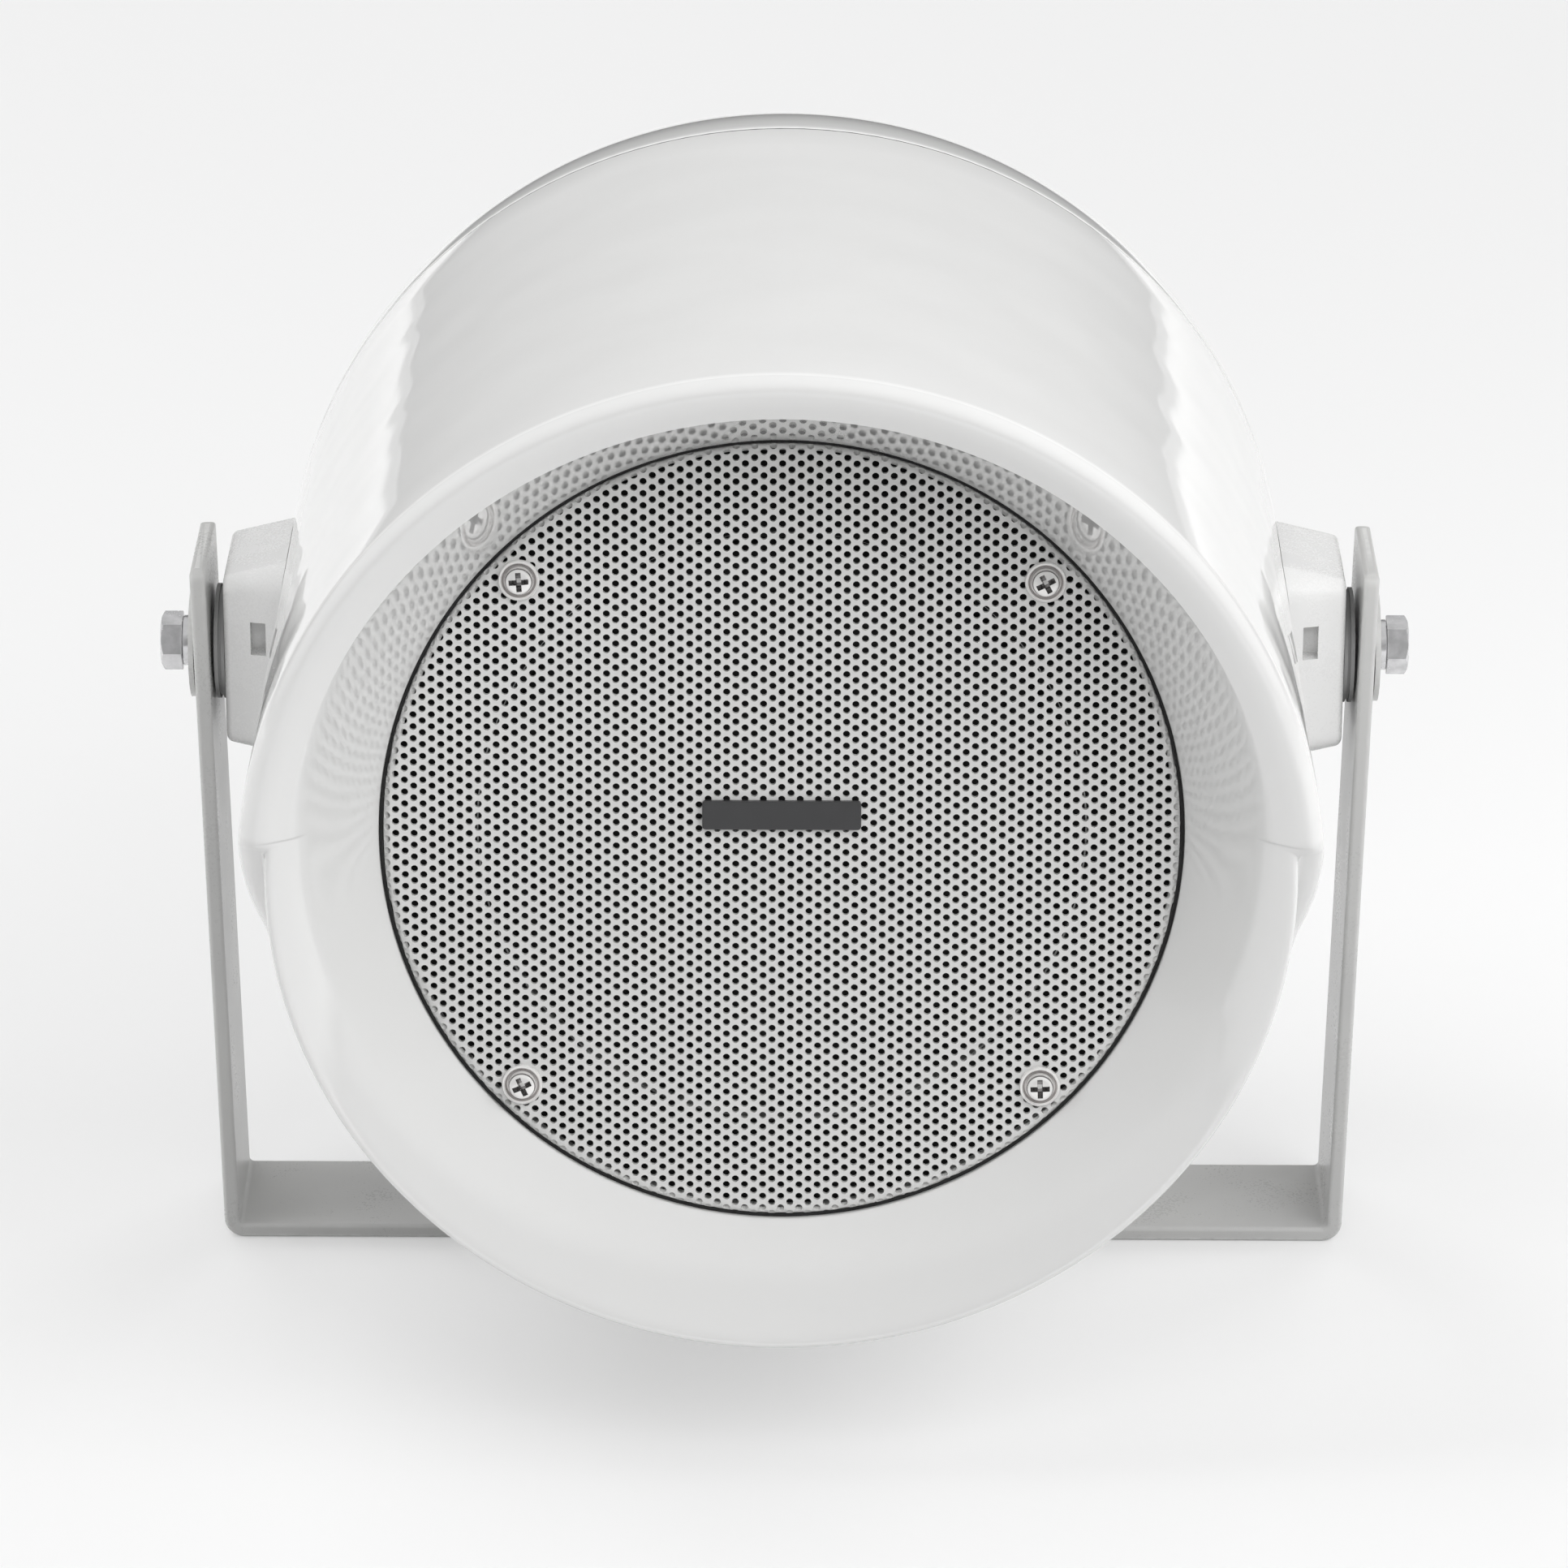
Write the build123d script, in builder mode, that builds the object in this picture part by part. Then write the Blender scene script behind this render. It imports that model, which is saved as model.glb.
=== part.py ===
from build123d import *
from math import cos, hypot, radians, sin, tan
import os

os.makedirs("parts", exist_ok=True)

# Bracket strip and pivot line
strip_width = 30.0
strip_thickness = 3.0
pivot_height = 122.8
arm_reach = 19.8  # tip of an arm above the pivot
arm_lean = 1.3  # degrees outwards
arm_tip_round = 2.0
bend_radius = 4.0
pivot_stand = 16.0  # outside of an arm from the barrel, at the pivot
centre_hole_radius = 4.25
side_hole_radius = 3.25
side_hole_spacing = 80.0

# Barrel, rain hood and mouth
barrel_radius = 98.5
wall = 3.0
rim_ahead = 122.0  # rim plane ahead of the pivot
seam_behind = 21.5  # rear seam behind the pivot
hood_round = 3.4
hood_flat = 0.6
hood_step = 8.6  # foot of the hood's rim above the barrel axis
hood_setback = 31.0  # lower front edge of the barrel behind the rim
ring_step = 4.9  # ring below the barrel's outside
ring_setback = 1.0
ring_round = 2.0
ring_wall = 2.0
lip_width = 17.5
lip_depth = 7.6
lip_bulge = 0.3
lip_wall = 9.0

# Flare, tilted grille, baffle and driver opening
flare_side_margin = 8.3  # barrel outside of the flare, in the rim plane
flare_top_margin = 6.9
flare_rise = 1.6
flare_wall = 2.4
grille_tilt = 8.0  # degrees, facing up
grille_behind_rim = 25.4
grille_rise = 0.4
mouth_margin = 25.1  # barrel outside of the grille
grille_gap = 0.7
grille_depth = 5.0
grille_sheet = 1.0
grille_round = 1.4
grille_screw_margin = 5.5
perforation_pitch = 12.6
perforation_radius = 3.6
perforation_rim = 7.4
baffle_thickness = 4.0
baffle_margin = 17.4  # grille outside of the driver's opening
badge_width = 29.2
badge_height = 5.4
badge_thickness = 1.2
badge_rise = 3.9
screw_boss_radius = 3.8
grille_screw_radius = 1.45
grille_screw_flange = 3.8
grille_screw_dome = 2.75
screw_flange_thickness = 0.8
screw_dome_height = 1.8
screw_dome_taper = 20.0
screw_head_height = 2.2
cross_reach = 1.5
cross_width = 0.7
cross_depth = 1.0
badge_round = 0.6

# Driver
basket_flange = 8.0
basket_sheet = 1.2
spider_room = 8.6  # basket floor behind the spider
basket_waist = 37.0
gasket_thickness = 0.8
surround_margin = 0.4
surround_edge = 1.6
surround_tab = 2.0
roll_width = 8.0
roll_height = 3.4
roll_sheet = 0.7
cone_sheet = 1.0
coil_radius = 12.6
coil_thickness = 0.9
cone_slope = 0.65
cap_radius = 16.0
cap_rise = 4.5
spider_fold = 1.6
window_front = -17.0
window_height = 13.0
window_width = 30.0
window_inset = 4.0
pole_radius = 12.0
gap_radius = 14.2
plate_radius = 34.0
plate_thickness = 5.0
magnet_radius = 36.0
magnet_bore = 17.0
magnet_thickness = 13.0

# Rear cover, its screws and the cable gland
seal_thickness = 0.8
cover_depth = 52.0
cover_dome_width = 60.0
cover_screw_margin = 13.5
cover_post_radius = 5.0
cover_boss_length = 20.0
cover_pilot_depth = 16.0
cover_seat = 8.0
quarter_turn = 90.0  # degrees
gland_margin = 11.5  # gland inside the edge of the cover's flat
gland_thread_radius = 7.6
gland_flange = 19.0  # across flats
cable_radius = 3.2
gland_flange_thickness = 5.0
gland_neck = 8.5
gland_collar = 7.0
gland_bore = 6.0
gland_nut_thickness = 4.0
gland_cap_end = 4.0
gland_cap_taper = 25.0

# Line transformer on the rear cover
core_width = 66.0
core_height = 55.0
core_stack = 30.0
core_leg = 22.0
core_window_width = 11.0
core_window_height = 33.0
core_back = 56.0  # back face of the core behind the pivot
coil_build = 9.0
strap_sheet = 1.2
strap_ear = 12.0
strap_post_radius = 4.5
strap_width = 24.0
strap_screw_depth = 10.0
board_width = 34.0
board_height = 20.0
board_thickness = 1.6
board_round = 1.5
tag_columns = 4
tag_pitch = 8.0
tag_width = 2.8
tag_thickness = 0.8
tag_length = 6.0

# Pivot blocks, friction discs and bolts
block_stand = 10.3  # outer face from the barrel
block_ahead = 12.0
block_behind = 17.0
block_height = 34.4
block_draft = 13.0
block_wrap = 14.0  # degrees of barrel covered above and below the pivot
block_round = 3.0
block_screw_offset = 12.0
slot_width = 3.0
slot_height = 6.8
slot_depth = 2.5
slot_rise = 5.6
slot_inset = 6.8
disc_radius = 11.25
bolt_radius = 3.0
bolt_length = 20.0
bolt_flats = 10.0
bolt_head = 4.2
flat_washer_radius = 11.0
flat_washer_thickness = 1.0
spring_washer_radius = 4.95
spring_washer_thickness = 1.6
washer_split = 1.2
disc_groove = 0.6
bolt_bevel = 60.0
insert_radius = 4.2

# Clearances
running_gap = 0.35
seat_gap = 0.05
hole_gap = 0.2

# Sizes that follow from the barrel and the pivot
arm_height = pivot_height + arm_reach
bracket_width = 2 * (barrel_radius + pivot_stand)  # over the arms, at the pivot
block_face = barrel_radius + block_stand
block_length = block_ahead + block_behind
block_offset = (block_behind - block_ahead) / 2
ring_radius = barrel_radius - ring_step
lip_root_radius = barrel_radius - lip_width
flare_half_width = barrel_radius - flare_side_margin  # where the flare's lines meet the rim plane
flare_half_height = barrel_radius - flare_top_margin
cover_flat_radius = barrel_radius - cover_dome_width
cover_screw_circle = barrel_radius - cover_screw_margin
gland_drop = cover_flat_radius - gland_margin
grille_radius = barrel_radius - mouth_margin
grille_screw_half = (grille_radius - grille_screw_margin) * cos(radians(45))
driver_opening_radius = grille_radius - baffle_margin
driver_screw_circle = driver_opening_radius + basket_flange / 2
basket_radius = driver_opening_radius + basket_flange
surround_outer = driver_opening_radius - surround_margin
roll_outer = surround_outer - surround_edge
roll_inner = roll_outer - roll_width
surround_inner = roll_inner - surround_tab
window_circle = roll_outer - window_inset
cone_neck = coil_radius + coil_thickness - seat_gap
cone_depth = (surround_inner - cone_neck) * cone_slope
basket_depth = cone_depth + 2 * cone_sheet + spider_room


# Plane across the barrel, facing forwards
def ahead(distance):
    return Plane(origin=(0, -distance, pivot_height), x_dir=(1, 0, 0), z_dir=(0, -1, 0))


# Plane across the barrel, facing backwards
def behind(distance):
    return Plane(origin=(0, distance, pivot_height), x_dir=(-1, 0, 0), z_dir=(0, 1, 0))


# Plane parallel to the grille's face, facing out of it
def grille_level(distance):
    return grille_face.offset(distance)


# Plane facing outwards on one side of the pivot line
def outward(side, distance):
    return Plane(origin=(side * distance, 0, pivot_height), x_dir=(0, side, 0), z_dir=(side, 0, 0))


barrel_axis = Axis((0, 0, pivot_height), (0, -1, 0))
barrel_section = Plane(origin=(0, 0, pivot_height), x_dir=(0, 0, 1), z_dir=(1, 0, 0))
barrel_side = Plane(origin=(0, 0, pivot_height), x_dir=(0, -1, 0), z_dir=(-1, 0, 0))

grille_ahead = rim_ahead - grille_behind_rim
grille_normal = (0, -cos(radians(grille_tilt)), sin(radians(grille_tilt)))
grille_centre = (0, -grille_ahead, pivot_height + grille_rise)
grille_face = Plane(origin=grille_centre, x_dir=(1, 0, 0), z_dir=grille_normal)
driver_axis = Axis(grille_centre, grille_normal)
driver_section = Plane(origin=grille_centre, x_dir=grille_face.y_dir, z_dir=(1, 0, 0))

lip_ahead = rim_ahead - lip_depth
lip_crest = barrel_radius - hood_round - hood_flat
lip_span = hypot(lip_crest - lip_root_radius, lip_depth)
lip_middle = (
    (lip_root_radius + lip_crest) / 2 - lip_bulge * lip_depth / lip_span,
    rim_ahead - lip_depth / 2 + lip_bulge * (lip_crest - lip_root_radius) / lip_span,
)
flare_seat = rim_ahead - lip_wall
ring_front = rim_ahead - ring_setback
throat_radius = grille_radius + grille_gap
baffle_front = -grille_depth
baffle_back = baffle_front - baffle_thickness
basket_front = baffle_back - gasket_thickness
basket_flange_back = basket_front - basket_sheet
basket_floor = basket_front - basket_depth
plate_front = basket_floor - basket_sheet
magnet_front = plate_front - plate_thickness
yoke_front = magnet_front - magnet_thickness
yoke_back = yoke_front - plate_thickness

arm_slope = tan(radians(arm_lean))
arm_half = bracket_width / 2
arm_foot = arm_half - pivot_height * arm_slope
arm_tip = arm_foot + arm_height * arm_slope
arm_section = strip_thickness / cos(radians(arm_lean))
arm_inside = arm_foot - arm_section + strip_thickness * arm_slope
disc_face = arm_half - arm_section - disc_radius * arm_slope - running_gap
flat_washer_face = arm_half + flat_washer_radius * arm_slope + hole_gap
washer_face = flat_washer_face + flat_washer_thickness + seat_gap
bolt_face = washer_face + spring_washer_thickness + seat_gap
bolt_tip = bolt_face - bolt_length

cover_front = seam_behind + seal_thickness
cover_back = cover_front + cover_depth
core_front = core_back - core_stack
core_middle = (core_front + core_back) / 2

grille_screw_points = [
    (grille_screw_half * across, grille_screw_half * up)
    for across in (-1, 1)
    for up in (-1, 1)
]
driver_screw_points = [
    (driver_screw_circle, 0),
    (0, driver_screw_circle),
    (-driver_screw_circle, 0),
    (0, -driver_screw_circle),
]
cover_screw_offset = cover_screw_circle * cos(radians(45))
cover_rib_length = barrel_radius - cover_screw_circle
cover_screw_points = [
    (cover_screw_offset * across, cover_screw_offset * up) for across in (-1, 1) for up in (-1, 1)
]
strap_hole_offset = core_width / 2 + strap_sheet + strap_ear / 2
strap_screw_points = [(-strap_hole_offset, 0), (strap_hole_offset, 0)]

# Core, strap and terminal sizes that follow from the transformer
core_window_offset = (core_leg + core_window_width) / 2
strap_side = core_width / 2 + strap_sheet + seat_gap
strap_reach = strap_side + strap_ear
strap_floor = Plane(origin=(0, 0, pivot_height), x_dir=(1, 0, 0), z_dir=(0, 0, -1))
coil_floor = Plane(
    origin=(0, core_middle, pivot_height - core_window_height / 2 + hole_gap),
    x_dir=(1, 0, 0),
    z_dir=(0, 0, 1),
)

# Block sizes that follow from the barrel
block_root = block_face - barrel_radius * cos(radians(block_wrap))
block_screw_seat = (
    (barrel_radius - wall) ** 2 - (block_screw_offset + grille_screw_dome) ** 2
) ** 0.5 - seat_gap
block_screw_end = block_face - slot_inset / 2

# Cone, cap and spider sizes that follow from the basket
grille_inside = grille_radius - grille_sheet
neck_front = basket_front - cone_depth
cap_front = neck_front + (cap_radius - cone_neck) * cone_slope + hole_gap
cap_curve = (cap_radius**2 + cap_rise**2) / (2 * cap_rise)
roll_middle = (roll_outer + roll_inner) / 2
spider_level = neck_front - 2 * cone_sheet
spider_inner = coil_radius + coil_thickness + seat_gap
basket_lean = (roll_outer - basket_waist) / (basket_flange_back - basket_floor)
spider_outer = basket_waist + (spider_level - roll_sheet - basket_floor) * basket_lean - seat_gap
spider_fold_inner = spider_inner + (spider_outer - spider_inner) * 0.3
spider_fold_middle = spider_inner + (spider_outer - spider_inner) * 0.5
spider_fold_outer = spider_inner + (spider_outer - spider_inner) * 0.7

# Places of the larger perforations, clear of the screws, rim and badge
perforation_row = perforation_pitch * cos(radians(30))
perforation_grid = [
    ((column + 0.5 * (row % 2)) * perforation_pitch, row * perforation_row)
    for row in range(-7, 8)
    for column in range(-8, 8)
]
perforation_points = [
    (across, up)
    for across, up in perforation_grid
    if hypot(across, up) < grille_radius - perforation_rim
    and hypot(abs(across) - grille_screw_half, abs(up) - grille_screw_half)
    > grille_screw_flange + perforation_radius
    and (abs(across) > badge_width / 2 or abs(up - badge_rise) > badge_height / 2 + perforation_radius)
]

# U bracket of bent strip
with BuildPart() as u_bracket:
    with BuildSketch(Plane.XZ):
        with BuildLine():
            Polyline(
                (-arm_tip, arm_height),
                (-arm_foot, 0),
                (arm_foot, 0),
                (arm_tip, arm_height),
                (arm_tip - arm_section, arm_height),
                (arm_inside, strip_thickness),
                (-arm_inside, strip_thickness),
                (arm_section - arm_tip, arm_height),
                close=True,
            )
        make_face()
    extrude(amount=strip_width / 2, both=True)
    strip_edges = u_bracket.edges().filter_by(Axis.Y)
    foot_edges = strip_edges.filter_by(lambda edge: edge.center().Z < strip_thickness / 2)
    inner_edges = strip_edges.filter_by(
        lambda edge: strip_thickness / 2 < edge.center().Z < arm_height / 2
    )
    fillet(foot_edges, bend_radius)
    fillet(inner_edges, bend_radius - strip_thickness)
    tip_edges = u_bracket.edges().filter_by(Axis.X).filter_by(
        lambda edge: edge.center().Z > arm_height - arm_tip_round
    )
    fillet(tip_edges, arm_tip_round)
    with BuildSketch(Plane.YZ.offset(-bracket_width)):
        with Locations((0, pivot_height)):
            Circle(bolt_radius + running_gap)
    extrude(amount=2 * bracket_width, mode=Mode.SUBTRACT)
    with BuildSketch(Plane.XY):
        Circle(centre_hole_radius)
        with Locations((-side_hole_spacing / 2, 0), (side_hole_spacing / 2, 0)):
            Circle(side_hole_radius)
    extrude(amount=strip_thickness, mode=Mode.SUBTRACT)
u_bracket.part.label = "u_bracket"
export_step(u_bracket.part, "parts/u_bracket.step")

# Air inside the flare, from the grille out to the rim plane
with BuildPart() as flare_air:
    with BuildSketch(grille_face):
        Circle(throat_radius)
    with BuildSketch(ahead(rim_ahead)):
        with Locations((0, flare_rise)):
            Ellipse(flare_half_width, flare_half_height)
    loft()

# Front housing: barrel, rain hood and lip in one moulding
with BuildPart() as front_housing:
    with BuildSketch(barrel_section):
        with BuildLine():
            Line((0, -seam_behind), (barrel_radius, -seam_behind))
            Line((barrel_radius, -seam_behind), (barrel_radius, rim_ahead - hood_round))
            RadiusArc(
                (barrel_radius, rim_ahead - hood_round),
                (barrel_radius - hood_round, rim_ahead),
                -hood_round,
            )
            Line((barrel_radius - hood_round, rim_ahead), (0, rim_ahead))
            Line((0, rim_ahead), (0, -seam_behind))
        make_face()
    revolve(axis=barrel_axis)
    with BuildSketch(barrel_side):
        with BuildLine():
            Polyline(
                (rim_ahead + wall, hood_step + wall),
                (rim_ahead - hood_setback, hood_step - hood_setback),
                (rim_ahead - hood_setback, -barrel_radius - wall),
                (rim_ahead + wall, -barrel_radius - wall),
                close=True,
            )
        make_face()
    extrude(amount=barrel_radius + wall, both=True, mode=Mode.SUBTRACT)
    with BuildSketch(barrel_section):
        with BuildLine():
            Line((0, 0), (ring_radius, 0))
            Line((ring_radius, 0), (ring_radius, ring_front - ring_round))
            RadiusArc(
                (ring_radius, ring_front - ring_round),
                (ring_radius - ring_round, ring_front),
                -ring_round,
            )
            Line((ring_radius - ring_round, ring_front), (0, ring_front))
            Line((0, ring_front), (0, 0))
        make_face()
    revolve(axis=barrel_axis)
    with BuildSketch(barrel_section):
        with BuildLine():
            Polyline(
                (0, -seam_behind),
                (barrel_radius - wall, -seam_behind),
                (barrel_radius - wall, rim_ahead - hood_setback - wall),
                (ring_radius - ring_wall, rim_ahead - hood_setback - wall),
                (ring_radius - ring_wall, flare_seat),
                (0, flare_seat),
                close=True,
            )
        make_face()
    revolve(axis=barrel_axis, mode=Mode.SUBTRACT)
    with BuildSketch(barrel_section):
        with BuildLine():
            Line((0, rim_ahead - lip_depth), (lip_root_radius, rim_ahead - lip_depth))
            ThreePointArc((lip_root_radius, rim_ahead - lip_depth), lip_middle, (lip_crest, rim_ahead))
            Line((lip_crest, rim_ahead), (lip_crest, rim_ahead + wall))
            Line((lip_crest, rim_ahead + wall), (0, rim_ahead + wall))
            Line((0, rim_ahead + wall), (0, rim_ahead - lip_depth))
        make_face()
    revolve(axis=barrel_axis, mode=Mode.SUBTRACT)
    add(flare_air.part, mode=Mode.SUBTRACT)
    with BuildSketch(behind(seam_behind)):
        with Locations(*cover_screw_points):
            Circle(cover_post_radius)
        with PolarLocations(barrel_radius - (wall + cover_rib_length) / 2, 4, start_angle=45):
            Rectangle(cover_rib_length - wall + seat_gap, cover_post_radius)
    extrude(amount=-cover_boss_length)
    with BuildSketch(behind(seam_behind)):
        with Locations(*cover_screw_points):
            Circle(grille_screw_radius + seat_gap)
    extrude(amount=-cover_pilot_depth, mode=Mode.SUBTRACT)
    with BuildSketch(outward(1, 0)):
        Circle(insert_radius + hole_gap)
        with Locations((0, -block_screw_offset), (0, block_screw_offset)):
            Circle(grille_screw_radius + hole_gap)
    extrude(amount=barrel_radius, both=True, mode=Mode.SUBTRACT)
front_housing.part.label = "front_housing"
export_step(front_housing.part, "parts/front_housing.step")

# Flare and baffle: a second moulding, welded to the back of the lip
with BuildPart() as flare_baffle:
    with BuildSketch(grille_level(baffle_back)):
        Circle(throat_radius + flare_wall)
    with BuildSketch(ahead(rim_ahead)):
        with Locations((0, flare_rise)):
            Ellipse(flare_half_width + flare_wall, flare_half_height + flare_wall)
    loft()
    with BuildSketch(ahead(flare_seat - seat_gap)):
        Circle(barrel_radius)
    extrude(amount=lip_wall + wall, mode=Mode.SUBTRACT)
    add(flare_air.part, mode=Mode.SUBTRACT)
    with BuildSketch(grille_face):
        Circle(throat_radius)
    extrude(amount=-grille_depth, mode=Mode.SUBTRACT)
    with BuildSketch(grille_level(baffle_front)):
        Circle(driver_opening_radius)
    extrude(amount=-2 * baffle_thickness, mode=Mode.SUBTRACT)
    with BuildSketch(grille_level(baffle_front)):
        with Locations(*grille_screw_points):
            Circle(screw_boss_radius)
    extrude(amount=grille_depth - grille_sheet - seat_gap)
    with BuildSketch(grille_face):
        with Locations(*grille_screw_points):
            Circle(grille_screw_radius + seat_gap)
    extrude(amount=-2 * grille_depth, mode=Mode.SUBTRACT)
    with BuildSketch(grille_level(baffle_back)):
        with Locations(*driver_screw_points):
            Circle(grille_screw_radius + seat_gap)
    extrude(amount=baffle_thickness - basket_sheet, mode=Mode.SUBTRACT)
flare_baffle.part.label = "flare_baffle"
export_step(flare_baffle.part, "parts/flare_baffle.step")

# Hollow of the rear cover, round its screw posts and transformer posts
with BuildPart() as cover_hollow:
    with BuildSketch(barrel_section):
        with BuildLine():
            Line((0, -cover_front), (barrel_radius - wall, -cover_front))
            EllipticalCenterArc(
                (cover_flat_radius, -cover_front),
                barrel_radius - wall - cover_flat_radius,
                cover_depth - wall,
                start_angle=3 * quarter_turn,
                arc_size=quarter_turn,
            )
            Line((cover_flat_radius, wall - cover_back), (0, wall - cover_back))
            Line((0, wall - cover_back), (0, -cover_front))
        make_face()
    revolve(axis=barrel_axis)
    with BuildSketch(behind(cover_front)):
        with Locations(*cover_screw_points):
            Circle(cover_post_radius)
    extrude(amount=cover_depth, mode=Mode.SUBTRACT)
    with BuildSketch(behind(core_back)):
        with Locations(*strap_screw_points):
            Circle(strap_post_radius)
    extrude(amount=cover_depth, mode=Mode.SUBTRACT)

# Domed rear cover
with BuildPart() as rear_cover:
    with BuildSketch(barrel_section):
        with BuildLine():
            Line((0, -cover_front), (barrel_radius, -cover_front))
            EllipticalCenterArc(
                (cover_flat_radius, -cover_front),
                barrel_radius - cover_flat_radius,
                cover_depth,
                start_angle=3 * quarter_turn,
                arc_size=quarter_turn,
            )
            Line((cover_flat_radius, -cover_back), (0, -cover_back))
            Line((0, -cover_back), (0, -cover_front))
        make_face()
    revolve(axis=barrel_axis)
    add(cover_hollow.part, mode=Mode.SUBTRACT)
    with BuildSketch(behind(cover_front)):
        with Locations(*cover_screw_points):
            Circle(grille_screw_radius + hole_gap)
    extrude(amount=cover_depth, mode=Mode.SUBTRACT)
    with BuildSketch(behind(cover_front + cover_seat)):
        with Locations(*cover_screw_points):
            Circle(grille_screw_flange + hole_gap)
    extrude(amount=cover_depth, mode=Mode.SUBTRACT)
    with BuildSketch(behind(core_back)):
        with Locations(*strap_screw_points):
            Circle(grille_screw_radius + seat_gap)
    extrude(amount=strap_screw_depth, mode=Mode.SUBTRACT)
    with BuildSketch(behind(cover_back)):
        with Locations((0, -gland_drop)):
            Circle(gland_thread_radius + hole_gap)
    extrude(amount=-2 * wall, mode=Mode.SUBTRACT)
rear_cover.part.label = "rear_cover"
export_step(rear_cover.part, "parts/rear_cover.step")

# Flat seal between the barrel and the rear cover
with BuildPart() as rear_seal:
    with BuildSketch(behind(seam_behind)):
        Circle(barrel_radius - hole_gap)
        Circle(barrel_radius - wall, mode=Mode.SUBTRACT)
    extrude(amount=seal_thickness)
rear_seal.part.label = "rear_seal"
export_step(rear_seal.part, "parts/rear_seal.step")

# Screws of the rear cover, one in each post
with BuildPart() as rear_cover_screws:
    with BuildSketch(behind(cover_front + cover_seat + seat_gap)):
        with Locations(*cover_screw_points):
            Circle(grille_screw_dome)
    extrude(amount=screw_head_height)
    with BuildSketch(behind(cover_front + cover_seat + seat_gap)):
        with Locations(*cover_screw_points):
            Circle(grille_screw_radius)
    extrude(amount=-(cover_seat + seal_thickness + cover_boss_length / 2))
    with BuildSketch(behind(cover_front + cover_seat + seat_gap + screw_head_height)):
        with Locations(*cover_screw_points):
            Rectangle(2 * cross_reach, cross_width)
            Rectangle(cross_width, 2 * cross_reach)
    extrude(amount=-cross_depth, mode=Mode.SUBTRACT)
rear_cover_screws.part.label = "rear_cover_screws"
export_step(rear_cover_screws.part, "parts/rear_cover_screws.step")

# Cable gland: body through the cover, lock nut inside, seal and cap outside
gland_body_face = behind(cover_back + seat_gap)
with BuildPart() as gland_body:
    with BuildSketch(gland_body_face):
        with Locations((0, -gland_drop)):
            RegularPolygon(gland_flange / 2, 6, major_radius=False)
    extrude(amount=gland_flange_thickness)
    with BuildSketch(gland_body_face):
        with Locations((0, -gland_drop)):
            Circle(gland_thread_radius)
    extrude(amount=-gland_neck)
    with BuildSketch(gland_body_face.offset(gland_flange_thickness)):
        with Locations((0, -gland_drop)):
            Circle(gland_thread_radius)
    extrude(amount=gland_collar)
    with BuildSketch(gland_body_face.offset(-gland_neck)):
        with Locations((0, -gland_drop)):
            Circle(gland_bore)
    extrude(amount=gland_neck + gland_flange_thickness + gland_collar, mode=Mode.SUBTRACT)
gland_body.part.label = "gland_body"
export_step(gland_body.part, "parts/gland_body.step")

with BuildPart() as gland_lock_nut:
    with BuildSketch(behind(cover_back - wall - seat_gap)):
        with Locations((0, -gland_drop)):
            RegularPolygon(gland_flange / 2, 6, major_radius=False)
            Circle(gland_thread_radius + seat_gap, mode=Mode.SUBTRACT)
    extrude(amount=-gland_nut_thickness)
gland_lock_nut.part.label = "gland_lock_nut"
export_step(gland_lock_nut.part, "parts/gland_lock_nut.step")

with BuildPart() as gland_seal:
    with BuildSketch(gland_body_face.offset(gland_flange_thickness)):
        with Locations((0, -gland_drop)):
            Circle(gland_bore - seat_gap)
            Circle(cable_radius, mode=Mode.SUBTRACT)
    extrude(amount=gland_collar)
gland_seal.part.label = "gland_seal"
export_step(gland_seal.part, "parts/gland_seal.step")

with BuildPart() as gland_cap:
    with BuildSketch(gland_body_face.offset(gland_flange_thickness + seat_gap)):
        with Locations((0, -gland_drop)):
            RegularPolygon(gland_flange / 2, 6, major_radius=False)
            Circle(gland_thread_radius + seat_gap, mode=Mode.SUBTRACT)
    extrude(amount=gland_collar)
    with BuildSketch(gland_body_face.offset(gland_flange_thickness + gland_collar + seat_gap)):
        with Locations((0, -gland_drop)):
            Circle(gland_flange / 2)
            Circle(gland_bore - wall / 2, mode=Mode.SUBTRACT)
    extrude(amount=gland_cap_end, taper=gland_cap_taper)
gland_cap.part.label = "gland_cap"
export_step(gland_cap.part, "parts/gland_cap.step")

# Transformer core of laminations, with two windows beside its centre leg
with BuildPart() as transformer_core:
    with BuildSketch(behind(core_front)):
        Rectangle(core_width, core_height)
        with Locations((-core_window_offset, 0), (core_window_offset, 0)):
            Rectangle(core_window_width, core_window_height, mode=Mode.SUBTRACT)
    extrude(amount=core_stack)
transformer_core.part.label = "transformer_core"
export_step(transformer_core.part, "parts/transformer_core.step")

# Transformer winding round the centre leg
with BuildPart() as transformer_coil:
    with BuildSketch(coil_floor):
        Rectangle(core_leg + 2 * coil_build, core_stack + 2 * coil_build)
        Rectangle(core_leg + 2 * hole_gap, core_stack + 2 * hole_gap, mode=Mode.SUBTRACT)
    extrude(amount=core_window_height - 2 * hole_gap)
transformer_coil.part.label = "transformer_coil"
export_step(transformer_coil.part, "parts/transformer_coil.step")

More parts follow.
